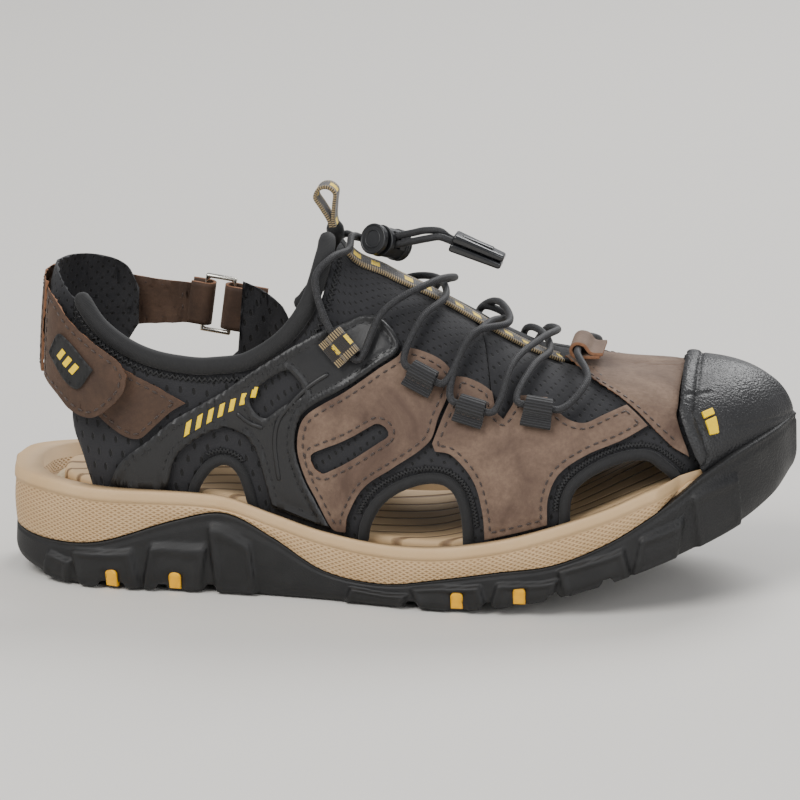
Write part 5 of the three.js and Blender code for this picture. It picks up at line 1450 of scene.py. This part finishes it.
EYE = CORD_R + 0.65
roll_back = Vector((-1, 0, -0.06)).normalized()
toe_roll = folded_loop(
    "toe_strap_roll",
    ((66.5, 2, 86.2), (0, 1, 0), roll_back, Vector((0, 1, 0)).cross(roll_back)),
    8, EYE, 1.3, 20, [nubuck, cut_edge], flare=0.1,
)
stands_for("toe_loop")

# ------------------------------------------------------------------ toe cap
# Moulded rubber bumper, bonded over the lasted upper: leather-like grain, a thick rolled
# lip along its rear edge with a groove beside it, and one plain two-part yellow mark.
cap_rear = [(264, 0.16), (262.6, 0.3), (263.8, 0.43)] + transverse(CAP_X)
stations = [318, 311, 305, 299, 293, 288, 284, 280, 276, 272, 268]
lower = [(s, foot_of(s, LATERAL, -2.4)) for s in stations]
far_lower = [(2 * LAST_END - s, foot_of(s, MEDIAL, -2.4)) for s in stations[1:]][::-1]
far_rear = [(2 * LAST_END - s, v) for s, v in cap_rear[:-1]][::-1]
cap_outline = cap_rear + far_rear + far_lower + lower
rear_line = drawn(cap_rear + far_rear, 1.0, closed=False)
groove_line = drawn(
    [(267, 0.66), (266.5, 0.6), (267, 0.545), (271, 0.53), (276, 0.525), (281, 0.52)], 0.8, closed=False
)
groove_points = on_last(groove_line[:, 0], groove_line[:, 1] / 100, LATERAL, TOP + 2.6)
rear_points = on_last(rear_line[:, 0], rear_line[:, 1] / 100, LATERAL, TOP + 2.6)


def cap_relief(d, s, v):
    """A lip 4.5 mm wide along the rear edge, the groove inside it, and fine pressed creases."""
    p = on_last(s, v, LATERAL, TOP + 2.6)
    rear = np.array([np.min(np.linalg.norm(rear_points - x, axis=1)) for x in p])
    lip = 0.95 * np.sqrt(np.clip(1 - ((rear - 2.6) / 2.6) ** 2, 0, 1)) - 0.55 * swell(rear, 5.1, 6.3, 0.9)
    away = rear - 6
    crease = 0.35 * swell(
        p[:, 2] - 66.5 + 0.1 * (p[:, 0] - 120), -0.6, 0.5, 0.8
    ) * np.clip(away / 4, 0, 1) * (p[:, 2] < 74)
    groove = np.array([np.min(np.linalg.norm(groove_points - x, axis=1)) for x in p])
    return lip - crease * 0.8 - 0.5 * np.clip(0.6 - d, 0, 0.6) - 0.55 * np.clip(1.25 - groove, 0, 1)


cap_rubber, surface = finish(
    "grained_black_rubber", Base_Color="#222325", Roughness=0.46, Specular_IOR_Level=0.5
)
place_in = add(cap_rubber, "TexCoord", {}).outputs["Object"]
bent = add(cap_rubber, "TexNoise", {"Vector": place_in, "Scale": 300.0, "Detail": 2.0})
warped = add(
    cap_rubber, "Mix", {0: 0.0012, 4: place_in, 5: bent.outputs["Color"]},
    data_type="VECTOR",
)
pebbles = add(
    cap_rubber, "TexVoronoi", {"Vector": warped.outputs[1], "Scale": 1250.0, "Randomness": 0.95},
    feature="SMOOTH_F1",
)
creases = add(cap_rubber, "TexNoise", {"Vector": place_in, "Scale": 1400.0, "Detail": 3.0})
grain = add(
    cap_rubber, "Math", {0: creases.outputs["Fac"], 1: 0.35, 2: pebbles.outputs["Distance"]},
    operation="MULTIPLY_ADD",
)
scuffed = add(cap_rubber, "TexNoise", {"Vector": place_in, "Scale": 60.0, "Detail": 7.0})
tint = add(cap_rubber, "Mix", {0: scuffed.outputs["Fac"], 6: "#151516", 7: "#232324"})
link(cap_rubber, tint.outputs[2], surface, "Base Color")
shine = add(
    cap_rubber, "MapRange",
    {"Value": scuffed.outputs["Fac"], "From Min": 0.3, "From Max": 0.7, "To Min": 0.38, "To Max": 0.56},
)
link(cap_rubber, shine.outputs["Result"], surface, "Roughness")
relief = add(
    cap_rubber, "Bump", {"Height": grain.outputs["Value"], "Distance": 0.00035, "Strength": 0.75}, invert=True
)
link(cap_rubber, relief.outputs["Normal"], surface, "Normal")
toe_cap = laid(
    "toe_bumper", cap_outline, LATERAL, TOP + 2.6, 2.6 + OVERLAY - 0.1, cap_rubber, cell=1.1,
    relief=cap_relief, rim=0.7, step=1.0
)
stands_for("toe_cap")

badge = bmesh.new()
for quad in (
    [(271.2, 0.345), (276.0, 0.355), (276.4, 0.4), (271.6, 0.39)],
    [(271.0, 0.24), (274.6, 0.235), (275.9, 0.34), (271.2, 0.33)],
):
    line = drawn(quad, 0.9)
    face = badge.faces.new([
        badge.verts.new(p / 1000) for p in on_last(line[:, 0], line[:, 1] / 100, LATERAL, TOP + 2.3)
    ])
    top = bmesh.ops.extrude_face_region(badge, geom=[face])["geom"]
    up = outward(274.0, 0.32, LATERAL)
    bmesh.ops.translate(
        badge, vec=Vector(up) * 0.0012, verts=[v for v in top if isinstance(v, bmesh.types.BMVert)]
    )
bmesh.ops.recalc_face_normals(badge, faces=badge.faces)
mark = finished("toe_mark", badge, yellow_ink, "shoe")
soft = mark.modifiers.new("soft_edge", "BEVEL")
soft.width = 0.0003
soft.segments = 2
stands_for("toe_badge")
thread_piece("leather_stitches", seams, brown_thread)

# ------------------------------------------------------------------ woven and ribbed tapes
# Jacquard tape, 10 mm wide: dark brown ground, cream ribs 0.85 mm apart along both margins and
# pairs of yellow blocks. The tape down the throat is sewn flat; the pull tab is folded double.
jacquard_tape, surface = finish("woven_jacquard_tape", Base_Color="#2c241d", Roughness=0.75, Sheen_Weight=0.3)
uv = add(jacquard_tape, "UVMap", {}, uv_map="pattern").outputs["UV"]
parts = add(jacquard_tape, "SeparateXYZ", {"Vector": uv})
off_centre = add(jacquard_tape, "Math", {0: parts.outputs["Y"]}, operation="ABSOLUTE")
margin = add(jacquard_tape, "Math", {0: off_centre.outputs["Value"], 1: 2.95}, operation="GREATER_THAN")
repeat = add(jacquard_tape, "Math", {0: parts.outputs["X"], 1: 21.0}, operation="FLOORED_MODULO")
middle = add(jacquard_tape, "Math", {0: repeat.outputs["Value"], 1: 8.75}, operation="SUBTRACT")
aside = add(jacquard_tape, "Math", {0: middle.outputs["Value"]}, operation="ABSOLUTE")
block = add(jacquard_tape, "Math", {0: aside.outputs["Value"], 1: 3.75, 2: 1.7}, operation="COMPARE")
inner = add(jacquard_tape, "Math", {0: off_centre.outputs["Value"], 1: 2.0}, operation="LESS_THAN")
yellow = add(
    jacquard_tape, "Math", {0: block.outputs["Value"], 1: inner.outputs["Value"]}, operation="MULTIPLY"
)
weft = add(jacquard_tape, "TexWave", {"Vector": uv, "Scale": 0.314 / 0.85})
turned = add(jacquard_tape, "Mapping", {"Vector": uv, "Rotation": (0, 0, math.pi / 2)})
warp = add(jacquard_tape, "TexWave", {"Vector": turned.outputs["Vector"], "Scale": 0.314 / 0.6})
cream = add(
    jacquard_tape, "MapRange",
    {"Value": weft.outputs["Fac"], "From Min": 0.35, "From Max": 0.6, "To Min": 0.0, "To Max": 1.0},
)
striped = add(
    jacquard_tape, "Math", {0: cream.outputs["Result"], 1: margin.outputs["Value"]}, operation="MULTIPLY"
)
ground = add(jacquard_tape, "Mix", {0: striped.outputs["Value"], 6: "#1c1611", 7: "#96815a"})
tint = add(jacquard_tape, "Mix", {0: yellow.outputs["Value"], 6: ground.outputs[2], 7: "#ffd600"})
link(jacquard_tape, tint.outputs[2], surface, "Base Color")
woven = add(jacquard_tape, "Math", {0: weft.outputs["Fac"], 1: warp.outputs["Fac"]}, operation="MULTIPLY")
relief = add(jacquard_tape, "Bump", {"Height": woven.outputs["Value"], "Distance": 0.0003, "Strength": 0.7})
link(jacquard_tape, relief.outputs["Normal"], surface, "Normal")

# Ribbed polyester tape, 11.5 mm wide: black, with raised ribs 1 mm apart across its length.
ribbed_tape, surface = finish("ribbed_polyester_tape", Base_Color="#1a1a1c", Roughness=0.7, Sheen_Weight=0.08)
uv = add(ribbed_tape, "UVMap", {}, uv_map="pattern").outputs["UV"]
ribs = add(ribbed_tape, "TexWave", {"Vector": uv, "Scale": 0.314 / 1.0})
turned = add(ribbed_tape, "Mapping", {"Vector": uv, "Rotation": (0, 0, math.pi / 2)})
yarns = add(
    ribbed_tape, "TexWave", {"Vector": turned.outputs["Vector"], "Scale": 0.314 / 0.5, "Distortion": 0.4}
)
# Painted light and shade: the raised ribs are painted lighter (#2a2a2c), the furrows between them darker
# (#0d0d0e).
tint = add(ribbed_tape, "Mix", {0: ribs.outputs["Fac"], 6: "#0d0d0e", 7: "#2a2a2c"})
link(ribbed_tape, tint.outputs[2], surface, "Base Color")
height = add(
    ribbed_tape, "Math", {0: yarns.outputs["Fac"], 1: 0.25, 2: ribs.outputs["Fac"]}, operation="MULTIPLY_ADD"
)
relief = add(ribbed_tape, "Bump", {"Height": height.outputs["Value"], "Distance": 0.00045, "Strength": 0.9})
link(ribbed_tape, relief.outputs["Normal"], surface, "Normal")

WEBBING, TAPE = 1.3, 10.0
tape_line = np.linspace(131, 229, 92)
TAPE_ASIDE = 0.7  # the middle of the tape lies this many half widths to the outer side
tape_middle = on_last(tape_line, 1.0, LATERAL, LIFT + WEBBING)
tape_gone = np.concatenate([[0], np.cumsum(np.linalg.norm(np.diff(tape_middle, axis=0), axis=1))])
per_height = np.linalg.norm(
    bare_last(tape_line, 0.9, LATERAL) - bare_last(tape_line, 1.0, LATERAL), axis=1
) / 0.1


def throat_tape(u, w):
    i = np.round(u * 91).astype(int)
    crown = 0.12 * (1 - (2 * w - 1) ** 2)
    beside = (2 * w - 1 - TAPE_ASIDE) * TAPE / 2 / per_height[i]
    return on_last(tape_line[i], 1 + beside, LATERAL, LIFT + WEBBING + crown)


def tape_measure(u, w):
    return tape_gone[np.round(u * 91).astype(int)], (w - 0.5) * TAPE


tape = shaped_grid("throat_tape", 91, 10, throat_tape, tape_measure, jacquard_tape, "shoe", flip=(20, 0, 40))
wall = tape.modifiers.new("thickness", "SOLIDIFY")
wall.thickness = 0.0012
wall.offset = -1
stands_for("centre_tape")

leaf = [(-0.68, 0.2), (-0.72, 2.6), (-2.5, 8.5)]
leaf += [(3.85 * math.cos(a), 11.8 + 3.85 * math.sin(a)) for a in np.linspace(math.pi - 0.15, 0.15, 9)]
leaf += [(2.5, 8.5), (0.72, 2.6), (0.68, 0.2)]
leaf = curve_through([(x, 0, z) for x, z in leaf], 0.45)
leaf_gone = np.concatenate([[0], np.cumsum(np.linalg.norm(np.diff(leaf, axis=0), axis=1))])
lean = math.radians(-14)


def tab_surface(u, w):
    x, z = (leaf[np.round(u * (len(leaf) - 1)).astype(int), k] for k in (0, 2))
    y = (w - 0.5) * TAPE
    return np.stack(
        [
            -25.5 + x * math.cos(lean) + z * math.sin(lean), y, 133 - x * math.sin(lean) + z * math.cos(lean)
        ], -1
    )


def tab_measure(u, w):
    return leaf_gone[np.round(u * (len(leaf) - 1)).astype(int)] - leaf_gone[-1] / 2 + 8.75, (w - 0.5) * TAPE


tab = shaped_grid("heel_pull_tab", len(leaf) - 1, 8, tab_surface, tab_measure, jacquard_tape, "pull_tab")
wall = tab.modifiers.new("thickness", "SOLIDIFY")
wall.thickness = 0.00125
wall.offset = 0
stands_for("pull_tab")

# ------------------------------------------------------------------ lace loops
# Eight loops of folded tape, four each side, sewn through the overlays with a box of dark
# stitches. The top pair are the striped tape, the other three the ribbed one.
LOOP_TITLES = ("upper_eyelet", "lace_loop_1", "lace_loop_2", "lace_loop_3")
LOOPS = {  # origin, along the lace, up the strip, outwards
    LATERAL: [
        ((-18.21, -32.09, 95.56), (0.68, -0.16, -0.72), (0.72, 0.34, 0.61), (0.15, -0.93, 0.34)),
        ((12.34, -36.00, 85.91), (0.90, -0.17, -0.41), (0.44, 0.40, 0.80), (0.02, -0.90, 0.44)),
        ((30.66, -40.38, 75.43), (0.96, -0.09, -0.25), (0.27, 0.43, 0.86), (0.03, -0.90, 0.44)),
        ((54.66, -38.15, 74.92), (0.99, 0.05, -0.16), (0.09, 0.65, 0.75), (0.14, -0.76, 0.64)),
    ],
    MEDIAL: [
        ((-18.26, 26.44, 95.32), (0.68, 0.13, -0.72), (0.72, -0.28, 0.63), (0.12, 0.95, 0.28)),
        ((12.26, 31.01, 85.67), (0.89, 0.18, -0.41), (0.45, -0.34, 0.83), (-0.01, 0.92, 0.38)),
        ((30.41, 36.05, 75.20), (0.96, 0.16, -0.25), (0.29, -0.35, 0.89), (-0.06, 0.92, 0.38)),
        ((54.18, 36.72, 74.71), (0.98, 0.10, -0.16), (0.19, -0.58, 0.79), (0.01, 0.81, 0.59)),
    ],
}
tacks = bmesh.new()
for side in (LATERAL, MEDIAL):
    for k, (title, frame_of) in enumerate(zip(LOOP_TITLES, LOOPS[side])):
        striped = k == 0
        origin, along, up, out = (np.array(a) for a in frame_of)
        loop = folded_loop(
            f"{title}_tape_{SIDE_NAME[side]}", frame_of, 7 if k == 3 else 6, EYE, WEBBING, 11.3,
            jacquard_tape if striped else ribbed_tape, flare=0.0 if striped else 0.16,
        )
        stands_for(f"{title}_{SIDE_NAME[side]}")
        for t in np.linspace(-4, 4, 5):
            p = Vector((origin + along * t - up * 3.9 + out * 2.72) / 1000)
            basis = Matrix((along, up, out)).transposed().to_4x4()
            basis.translation = p
            size = Matrix.Diagonal((0.00085, 0.00032, 0.0003, 1))
            bmesh.ops.create_uvsphere(tacks, u_segments=6, v_segments=4, radius=1, matrix=basis @ size)
thread_piece("loop_tacks", tacks, brown_thread)

# ------------------------------------------------------------------ elastic lace
# The same shock cord runs from the lock down through the striped eyelets, then crosses the
# throat through all the loops and the toe roll, and comes back to the lock.
LACE = [
    (-6.11, -0.56, 125.47), (-11.71, 2.17, 123.62), (-16.00, 2.60, 127.80), (-18.60, -3.00, 129.60),
    (-18.75, -10.80, 126.54), (-23.83, -21.15, 125.65), (-28.84, -27.92, 119.68), (-23.13, -33.91, 102.39),
    (-17.73, -35.15, 96.69), (-12.33, -36.40, 90.99), (-3.77, -28.30, 107.61), (12.97, -9.92, 115.06),
    (18.66, 8.67, 112.28), (10.11, 23.51, 105.24), (5.11, 32.60, 90.19), (12.22, 34.05, 86.93),
    (19.33, 35.51, 83.68), (26.68, 27.17, 96.51), (35.57, 9.14, 103.06), (40.80, -9.40, 100.21),
    (28.32, -26.81, 98.93), (23.08, -42.61, 78.85), (30.74, -43.35, 76.87), (38.41, -44.08, 74.88),
    (44.52, -29.99, 90.03), (52.88, -9.22, 94.38), (57.08, 11.07, 92.78), (51.42, 26.47, 89.17),
    (46.42, 38.58, 77.94), (54.23, 39.38, 76.66), (62.03, 40.19, 75.38), (70.84, 31.39, 83.68),
    (66.50, 15.00, 89.50), (66.50, 2.00, 89.50), (66.50, -11.00, 89.50), (71.73, -28.05, 83.83),
    (62.96, -40.26, 75.73), (55.13, -40.64, 77.03), (47.29, -41.02, 78.33), (51.42, -26.01, 87.91),
    (56.02, -9.03, 89.76), (51.66, 10.45, 91.42), (43.66, 27.64, 88.63), (37.82, 40.37, 74.49),
    (30.23, 39.10, 76.46), (22.63, 37.82, 78.43), (27.50, 23.58, 97.51), (39.28, 9.29, 97.40),
    (34.04, -9.27, 100.26), (26.74, -28.73, 95.73), (19.56, -40.35, 84.13), (12.42, -38.97, 87.36),
    (5.28, -37.59, 90.58), (10.03, -25.47, 104.56), (17.25, -9.30, 109.46), (11.65, 8.13, 112.17),
    (-4.24, 23.37, 106.23), (-12.44, 30.60, 90.53), (-17.86, 29.58, 96.26), (-23.27, 28.56, 101.99),
    (-28.85, 23.67, 119.41), (-24.02, 17.93, 125.42), (-18.80, 9.03, 126.49), (-16.50, 7.50, 126.60),
    (-12.00, 3.54, 126.50), (-6.40, 0.81, 128.35),
]
lace = swept("crossed_lace", curve_through(LACE, 0.9), CORD_R, shock_cord, "shoe", sides=12)
stands_for("elastic_lace")

# ------------------------------------------------------------------ cord lock
# Barrel lock of black acetal with a spring inside; the button on its end is pressed to let the
# two cords run. The barrel carries five grip rings and the button a domed cap.
bead_blasted, surface = finish("satin_black_acetal", Base_Color="#1a1b1d", Roughness=0.4)
place_in = add(bead_blasted, "TexCoord", {}).outputs["Object"]
spark = add(bead_blasted, "TexNoise", {"Vector": place_in, "Scale": 1800.0, "Detail": 3.0})
shine = add(
    bead_blasted, "MapRange",
    {"Value": spark.outputs["Fac"], "From Min": 0.3, "From Max": 0.7, "To Min": 0.32, "To Max": 0.5},
)
link(bead_blasted, shine.outputs["Result"], surface, "Roughness")
relief = add(bead_blasted, "Bump", {"Height": spark.outputs["Fac"], "Distance": 0.00004, "Strength": 0.5})
link(bead_blasted, relief.outputs["Normal"], surface, "Normal")
for title in ("cord_lock_body", "cord_lock_button"):
    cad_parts[title].data.materials.clear()
    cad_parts[title].data.materials.append(bead_blasted)
spring_wire, surface = finish("drawn_spring_steel", Base_Color="#8f9196", Metallic=1.0, Roughness=0.28)
place_in = add(spring_wire, "TexCoord", {}).outputs["Object"]
drawing = add(spring_wire, "TexNoise", {"Vector": place_in, "Scale": 3000.0, "Detail": 2.0})
relief = add(spring_wire, "Bump", {"Height": drawing.outputs["Fac"], "Distance": 0.00002, "Strength": 0.4})
link(spring_wire, relief.outputs["Normal"], surface, "Normal")

lock_place = Matrix((
    (0.86132, -0.42012, 0.28569), (-0.08996, 0.42732, 0.89961), (-0.50028, -0.80044, 0.33018),
)).transposed().to_4x4()
lock_place.translation = Vector((-6, 0, 127)) / 1000
for title, body, rows in (
    (
        "lock_grip_rings", "cord_lock",
        [(5.55, -7.9, 0.42), (5.55, -6.7, 0.42), (5.55, -5.5, 0.42), (5.5, 3.9, 0.5)]
    ),
    ("lock_button_rim", "lock_button", [(5.3, 8.35, 0.55), (3.3, 8.6, 0.3)]),
):
    bm = bmesh.new()
    for reach, z, thick in rows:
        ring = bmesh.ops.create_circle(bm, segments=10, radius=thick)["verts"]
        bmesh.ops.rotate(bm, verts=ring, matrix=Matrix.Rotation(math.pi / 2, 3, "X"))
        bmesh.ops.translate(bm, verts=ring, vec=(reach, 0, z))
        edges = [e for e in bm.edges if all(v in ring for v in e.verts)]
        bmesh.ops.spin(
            bm, geom=ring + edges, cent=(0, 0, 0), axis=(0, 0, 1), angle=2 * math.pi, steps=40, use_merge=True
        )
    bmesh.ops.recalc_face_normals(bm, faces=bm.faces)
    bmesh.ops.scale(bm, vec=(0.001, 0.001, 0.001), verts=bm.verts)
    bmesh.ops.transform(bm, matrix=lock_place, verts=bm.verts)
    for face in bm.faces:
        face.smooth = True
    finished(title, bm, bead_blasted, body)

# Spring: six turns of 0.7 mm wire between the barrel's floor and the button's stem.
SPRING_LOW, SPRING_HIGH, SPRING_R, WIRE_R = -7.2, -3.1, 2.6, 0.35
turns = np.linspace(0, 6 * 2 * math.pi, 150)
climb = SPRING_LOW + WIRE_R + (SPRING_HIGH - SPRING_LOW - 2 * WIRE_R) * turns / turns[-1]
coil = np.stack([SPRING_R * np.cos(turns), SPRING_R * np.sin(turns), climb, np.ones(150)], 1)
scaled = np.array(lock_place) * np.array([[1, 1, 1, 1000]] * 3 + [[1, 1, 1, 1]])
spring = swept("button_spring", (coil @ scaled.T)[:, :3], WIRE_R, spring_wire, "cord_lock", sides=8)
stands_for("cord_lock_spring")
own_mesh(spring)

# ------------------------------------------------------------------ heel strap
# A nubuck strap from the ring on the inner side, round the back of the heel. Its free end is a
# wide tab with a rubber badge, closed by hook and loop on a triangular base.
STRAP_TOP = [(-69, 0.25), (-46, 0.255), (-36, 0.265), (-20, 0.285), (0, 0.29), (12, 0.285)]
STRAP_LOW = [(12, 0.15), (0, 0.155), (-20, 0.16), (-36, 0.17), (-46, 0.18), (-69, 0.19)]
dark_nubuck = hide("dark_brown_nubuck", "#332319", "#523c2d", "#35251b", 0.12, "#c9ab8c", 55.0, 640.0)
strap = laid(
    "heel_strap_nubuck", STRAP_TOP + STRAP_LOW, LATERAL, 4.4, 1.85, [dark_nubuck, cut_edge], cell=1.5,
    relief=sewn_leather, step=1.2,
)
stands_for("heel_strap")
strap_seams = bmesh.new()
for line in inside(STRAP_TOP + STRAP_LOW, LATERAL, STITCH_IN):
    sew(strap_seams, line, LATERAL, 4.45)
for s in (-63, -60.5):
    sew(strap_seams, [(s, 20.6), (s, 22), (s, 23.4)], LATERAL, 4.45)

STRAP_BASE = [
    (36, 0.125), (36, 0.21), (51, 0.18), (64, 0.157), (74, 0.137), (69, 0.124), (63, 0.102), (57, 0.083),
    (49, 0.09),
]
base_strap = laid(
    "strap_base_nubuck", STRAP_BASE, LATERAL, LIFT + 1.2, 1.2, [dark_nubuck, cut_edge], cell=1.5,
    relief=sewn_leather, rim=0.25, step=1.2,
)
stands_for("strap_base")
for line in inside(STRAP_BASE, LATERAL, 2.0):
    sew(strap_seams, line, LATERAL, LIFT + 1.22)

# Tab: the strap's free end, thick and stiff, with stitching all round.
STRAP_TAB = [
    (15.5, 0.15), (15.5, 0.28), (24, 0.268), (33, 0.24), (43, 0.212), (51, 0.193), (54, 0.175), (53, 0.152),
    (47, 0.124), (41, 0.11), (34, 0.115), (26, 0.135),
]


def tab_rise(s):
    """The tab climbs from the strap over the end of the base."""
    t = np.clip((np.asarray(s, float) - 13.5) / 18, 0, 1)
    return 2.5 + 4.2 * t


tab_flap = laid(
    "strap_tab_nubuck", STRAP_TAB, LATERAL, lambda s, v: tab_rise(s) + 1.75, 1.85, [dark_nubuck, cut_edge],
    body="strap_tab", cell=1.2, relief=sewn_leather, step=1.0,
)
stands_for("strap_tab")
tab_seams = bmesh.new()
for line in inside(STRAP_TAB, LATERAL, STITCH_IN):
    sew(tab_seams, line, LATERAL, tab_rise(line[:, 0]) + 1.8)
thread_piece("strap_stitches", strap_seams, brown_thread)
thread_piece("tab_stitches", tab_seams, brown_thread, body="strap_tab")

# Badge: a soft rubber plate with a raised frame, moulded with three plain yellow bars.
BADGE = [(23, 0.19), (29, 0.222), (42.5, 0.178), (36, 0.148)]
plate = laid(
    "strap_badge_plate", BADGE, LATERAL, lambda s, v: tab_rise(s) + 2.9, 1.1, rubber, body="strap_tab",
    cell=0.8,
    relief=lambda d, s, v: 0.55 * swell(d, 0.35, 1.15, 0.4), rim=0.2, step=0.7,
)
stands_for("strap_badge")
ink = bmesh.new()
corners = np.array(BADGE) * (1, 100)
for low, high in ((0.24, 0.36), (0.44, 0.56), (0.64, 0.76)):
    quad = []
    for a, b in ((low, 0.3), (high, 0.3), (high, 0.7), (low, 0.7)):
        near = corners[0] * (1 - b) + corners[1] * b
        far = corners[3] * (1 - b) + corners[2] * b
        quad.append(near * (1 - a) + far * a)
    quad = np.array(quad)
    sheets = []
    for lift in (2.7, 3.25):
        spots = on_last(quad[:, 0], quad[:, 1] / 100, LATERAL, tab_rise(quad[:, 0]) + lift)
        sheets.append(ink.faces.new([ink.verts.new(p / 1000) for p in spots]))
    bmesh.ops.bridge_loops(ink, edges=list(sheets[0].edges) + list(sheets[1].edges))
bmesh.ops.recalc_face_normals(ink, faces=ink.faces)
bmesh.ops.bevel(
    ink, geom=ink.edges[:], offset=0.0002, offset_type="OFFSET", segments=2, profile=0.5, affect="EDGES",
    material=-1
)
finished("strap_badge_bars", ink, yellow_ink, "strap_tab")

# Hook and loop: a woven loop patch on the base, moulded hooks 0.5 mm high under the tab.
touch_tape, surface = finish("hook_and_loop_pile", Base_Color="#19191b", Roughness=0.95, Sheen_Weight=0.4)
place_in = add(touch_tape, "TexCoord", {}).outputs["Object"]
pile = add(touch_tape, "TexVoronoi", {"Vector": place_in, "Scale": 2000.0})
tint = add(touch_tape, "Mix", {0: pile.outputs["Distance"], 6: "#2b2b2e", 7: "#0c0c0d"})
link(touch_tape, tint.outputs[2], surface, "Base Color")
relief = add(touch_tape, "Bump", {"Height": pile.outputs["Distance"], "Distance": 0.0005, "Strength": 1.0})
link(touch_tape, relief.outputs["Normal"], surface, "Normal")
PATCH = [(39, 0.135), (39, 0.2), (49, 0.18), (50, 0.16), (45, 0.135)]
for title, node, lift, body in (
    ("loop_pile_patch", "loop_patch", 4.3, "shoe"), ("hook_pile_patch", "hook_patch", 5.5, "strap_tab")
):
    patch = laid(title, PATCH, LATERAL, lift, 0.7, touch_tape, body=body, cell=1.5, rim=0.15)
    stands_for(node)

# ------------------------------------------------------------------ ring on the inner side
# A rectangular ring of nickel-plated zinc joins the strap to a folded leather chape, which is
# sewn to the inner quarter.
nickel, surface = finish("polished_nickel_plate", Base_Color="#c9c5bb", Metallic=1.0, Roughness=0.2)
place_in = add(nickel, "TexCoord", {}).outputs["Object"]
handled = add(nickel, "TexNoise", {"Vector": place_in, "Scale": 400.0, "Detail": 6.0})
shine = add(
    nickel, "MapRange",
    {"Value": handled.outputs["Fac"], "From Min": 0.35, "From Max": 0.7, "To Min": 0.14, "To Max": 0.34},
)
link(nickel, shine.outputs["Result"], surface, "Roughness")
relief = add(nickel, "Bump", {"Height": handled.outputs["Fac"], "Distance": 0.00003, "Strength": 0.4})
link(nickel, relief.outputs["Normal"], surface, "Normal")
ring_x = Vector((0.990, -0.0296, -0.1359))
ring_y = Vector((-0.134, 0.054, -0.9895))
ring_z = Vector((0.0367, 0.998, 0.0496))
ring_place = Matrix((ring_x, ring_y, ring_z)).transposed().to_4x4()
ring_place.translation = Vector((-74.50, 33.27, 93.00)) / 1000
bm = bmesh.new()
bmesh.ops.create_grid(bm, x_segments=1, y_segments=1, size=1)
bmesh.ops.scale(bm, vec=(6.0, 11.5, 1), verts=bm.verts)
bmesh.ops.inset_individual(bm, faces=bm.faces[:], thickness=2.2, depth=0)
bmesh.ops.delete(bm, geom=[min(bm.faces, key=lambda f: f.calc_center_median().length)], context="FACES_ONLY")
made = bmesh.ops.extrude_face_region(bm, geom=bm.faces[:])["geom"]
bmesh.ops.translate(bm, vec=(0, 0, 2.2), verts=[v for v in made if isinstance(v, bmesh.types.BMVert)])
bmesh.ops.translate(bm, vec=(0, 0, -1.1), verts=bm.verts)
bmesh.ops.recalc_face_normals(bm, faces=bm.faces)
sharp = [e for e in bm.edges if len(e.link_faces) == 2 and e.calc_face_angle() > 0.5]
bmesh.ops.bevel(
    bm, geom=sharp, offset=0.75, offset_type="OFFSET", segments=4, profile=0.5, affect="EDGES", material=-1
)
bmesh.ops.scale(bm, vec=(0.001, 0.001, 0.001), verts=bm.verts)
bmesh.ops.transform(bm, matrix=ring_place, verts=bm.verts)
for face in bm.faces:
    face.smooth = True
ring = finished("nickel_ring", bm, nickel, "shoe")
stands_for("strap_ring")

for title, x, tail, wide, reach, node in (
    ("ring_chape_nubuck", 4.9, 13.0, 17.2, 1.9, "ring_chape"),
    ("strap_turn_nubuck", -4.9, 6.0, 16.6, 1.9, None),
):
    way = 1 if x > 0 else -1
    middle = reach + 0.65
    fold = [(x + way * tail, -middle), (x + way * tail * 0.5, -middle)]
    fold += [(x - way * middle * math.sin(a), -middle * math.cos(a)) for a in np.linspace(0, math.pi, 11)]
    fold += [(x + way * tail * 0.5, middle), (x + way * tail, middle * 0.9)]
    fold = curve_through([(a, 0, b) for a, b in fold], 0.6)
    rows = len(fold) - 1

    def fold_surface(u, w, fold=fold, rows=rows, wide=wide):
        i = np.round(u * rows).astype(int)
        flat = np.stack([fold[i, 0], (w - 0.5) * wide, fold[i, 2]], -1)
        return flat @ np.array([ring_x, ring_y, ring_z]) + np.array((-74.50, 33.27, 93.00))

    def fold_measure(u, w, rows=rows, wide=wide):
        return u * rows * 0.6, (w - 0.5) * wide

    chape = shaped_grid(title, rows, 10, fold_surface, fold_measure, [dark_nubuck, cut_edge], "shoe")
    wall = chape.modifiers.new("thickness", "SOLIDIFY")
    wall.thickness = 0.00125
    wall.offset = 0
    wall.material_offset_rim = 1
    if node:
        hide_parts(node)

# ------------------------------------------------------------------ bounds of the shown pieces
low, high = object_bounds()
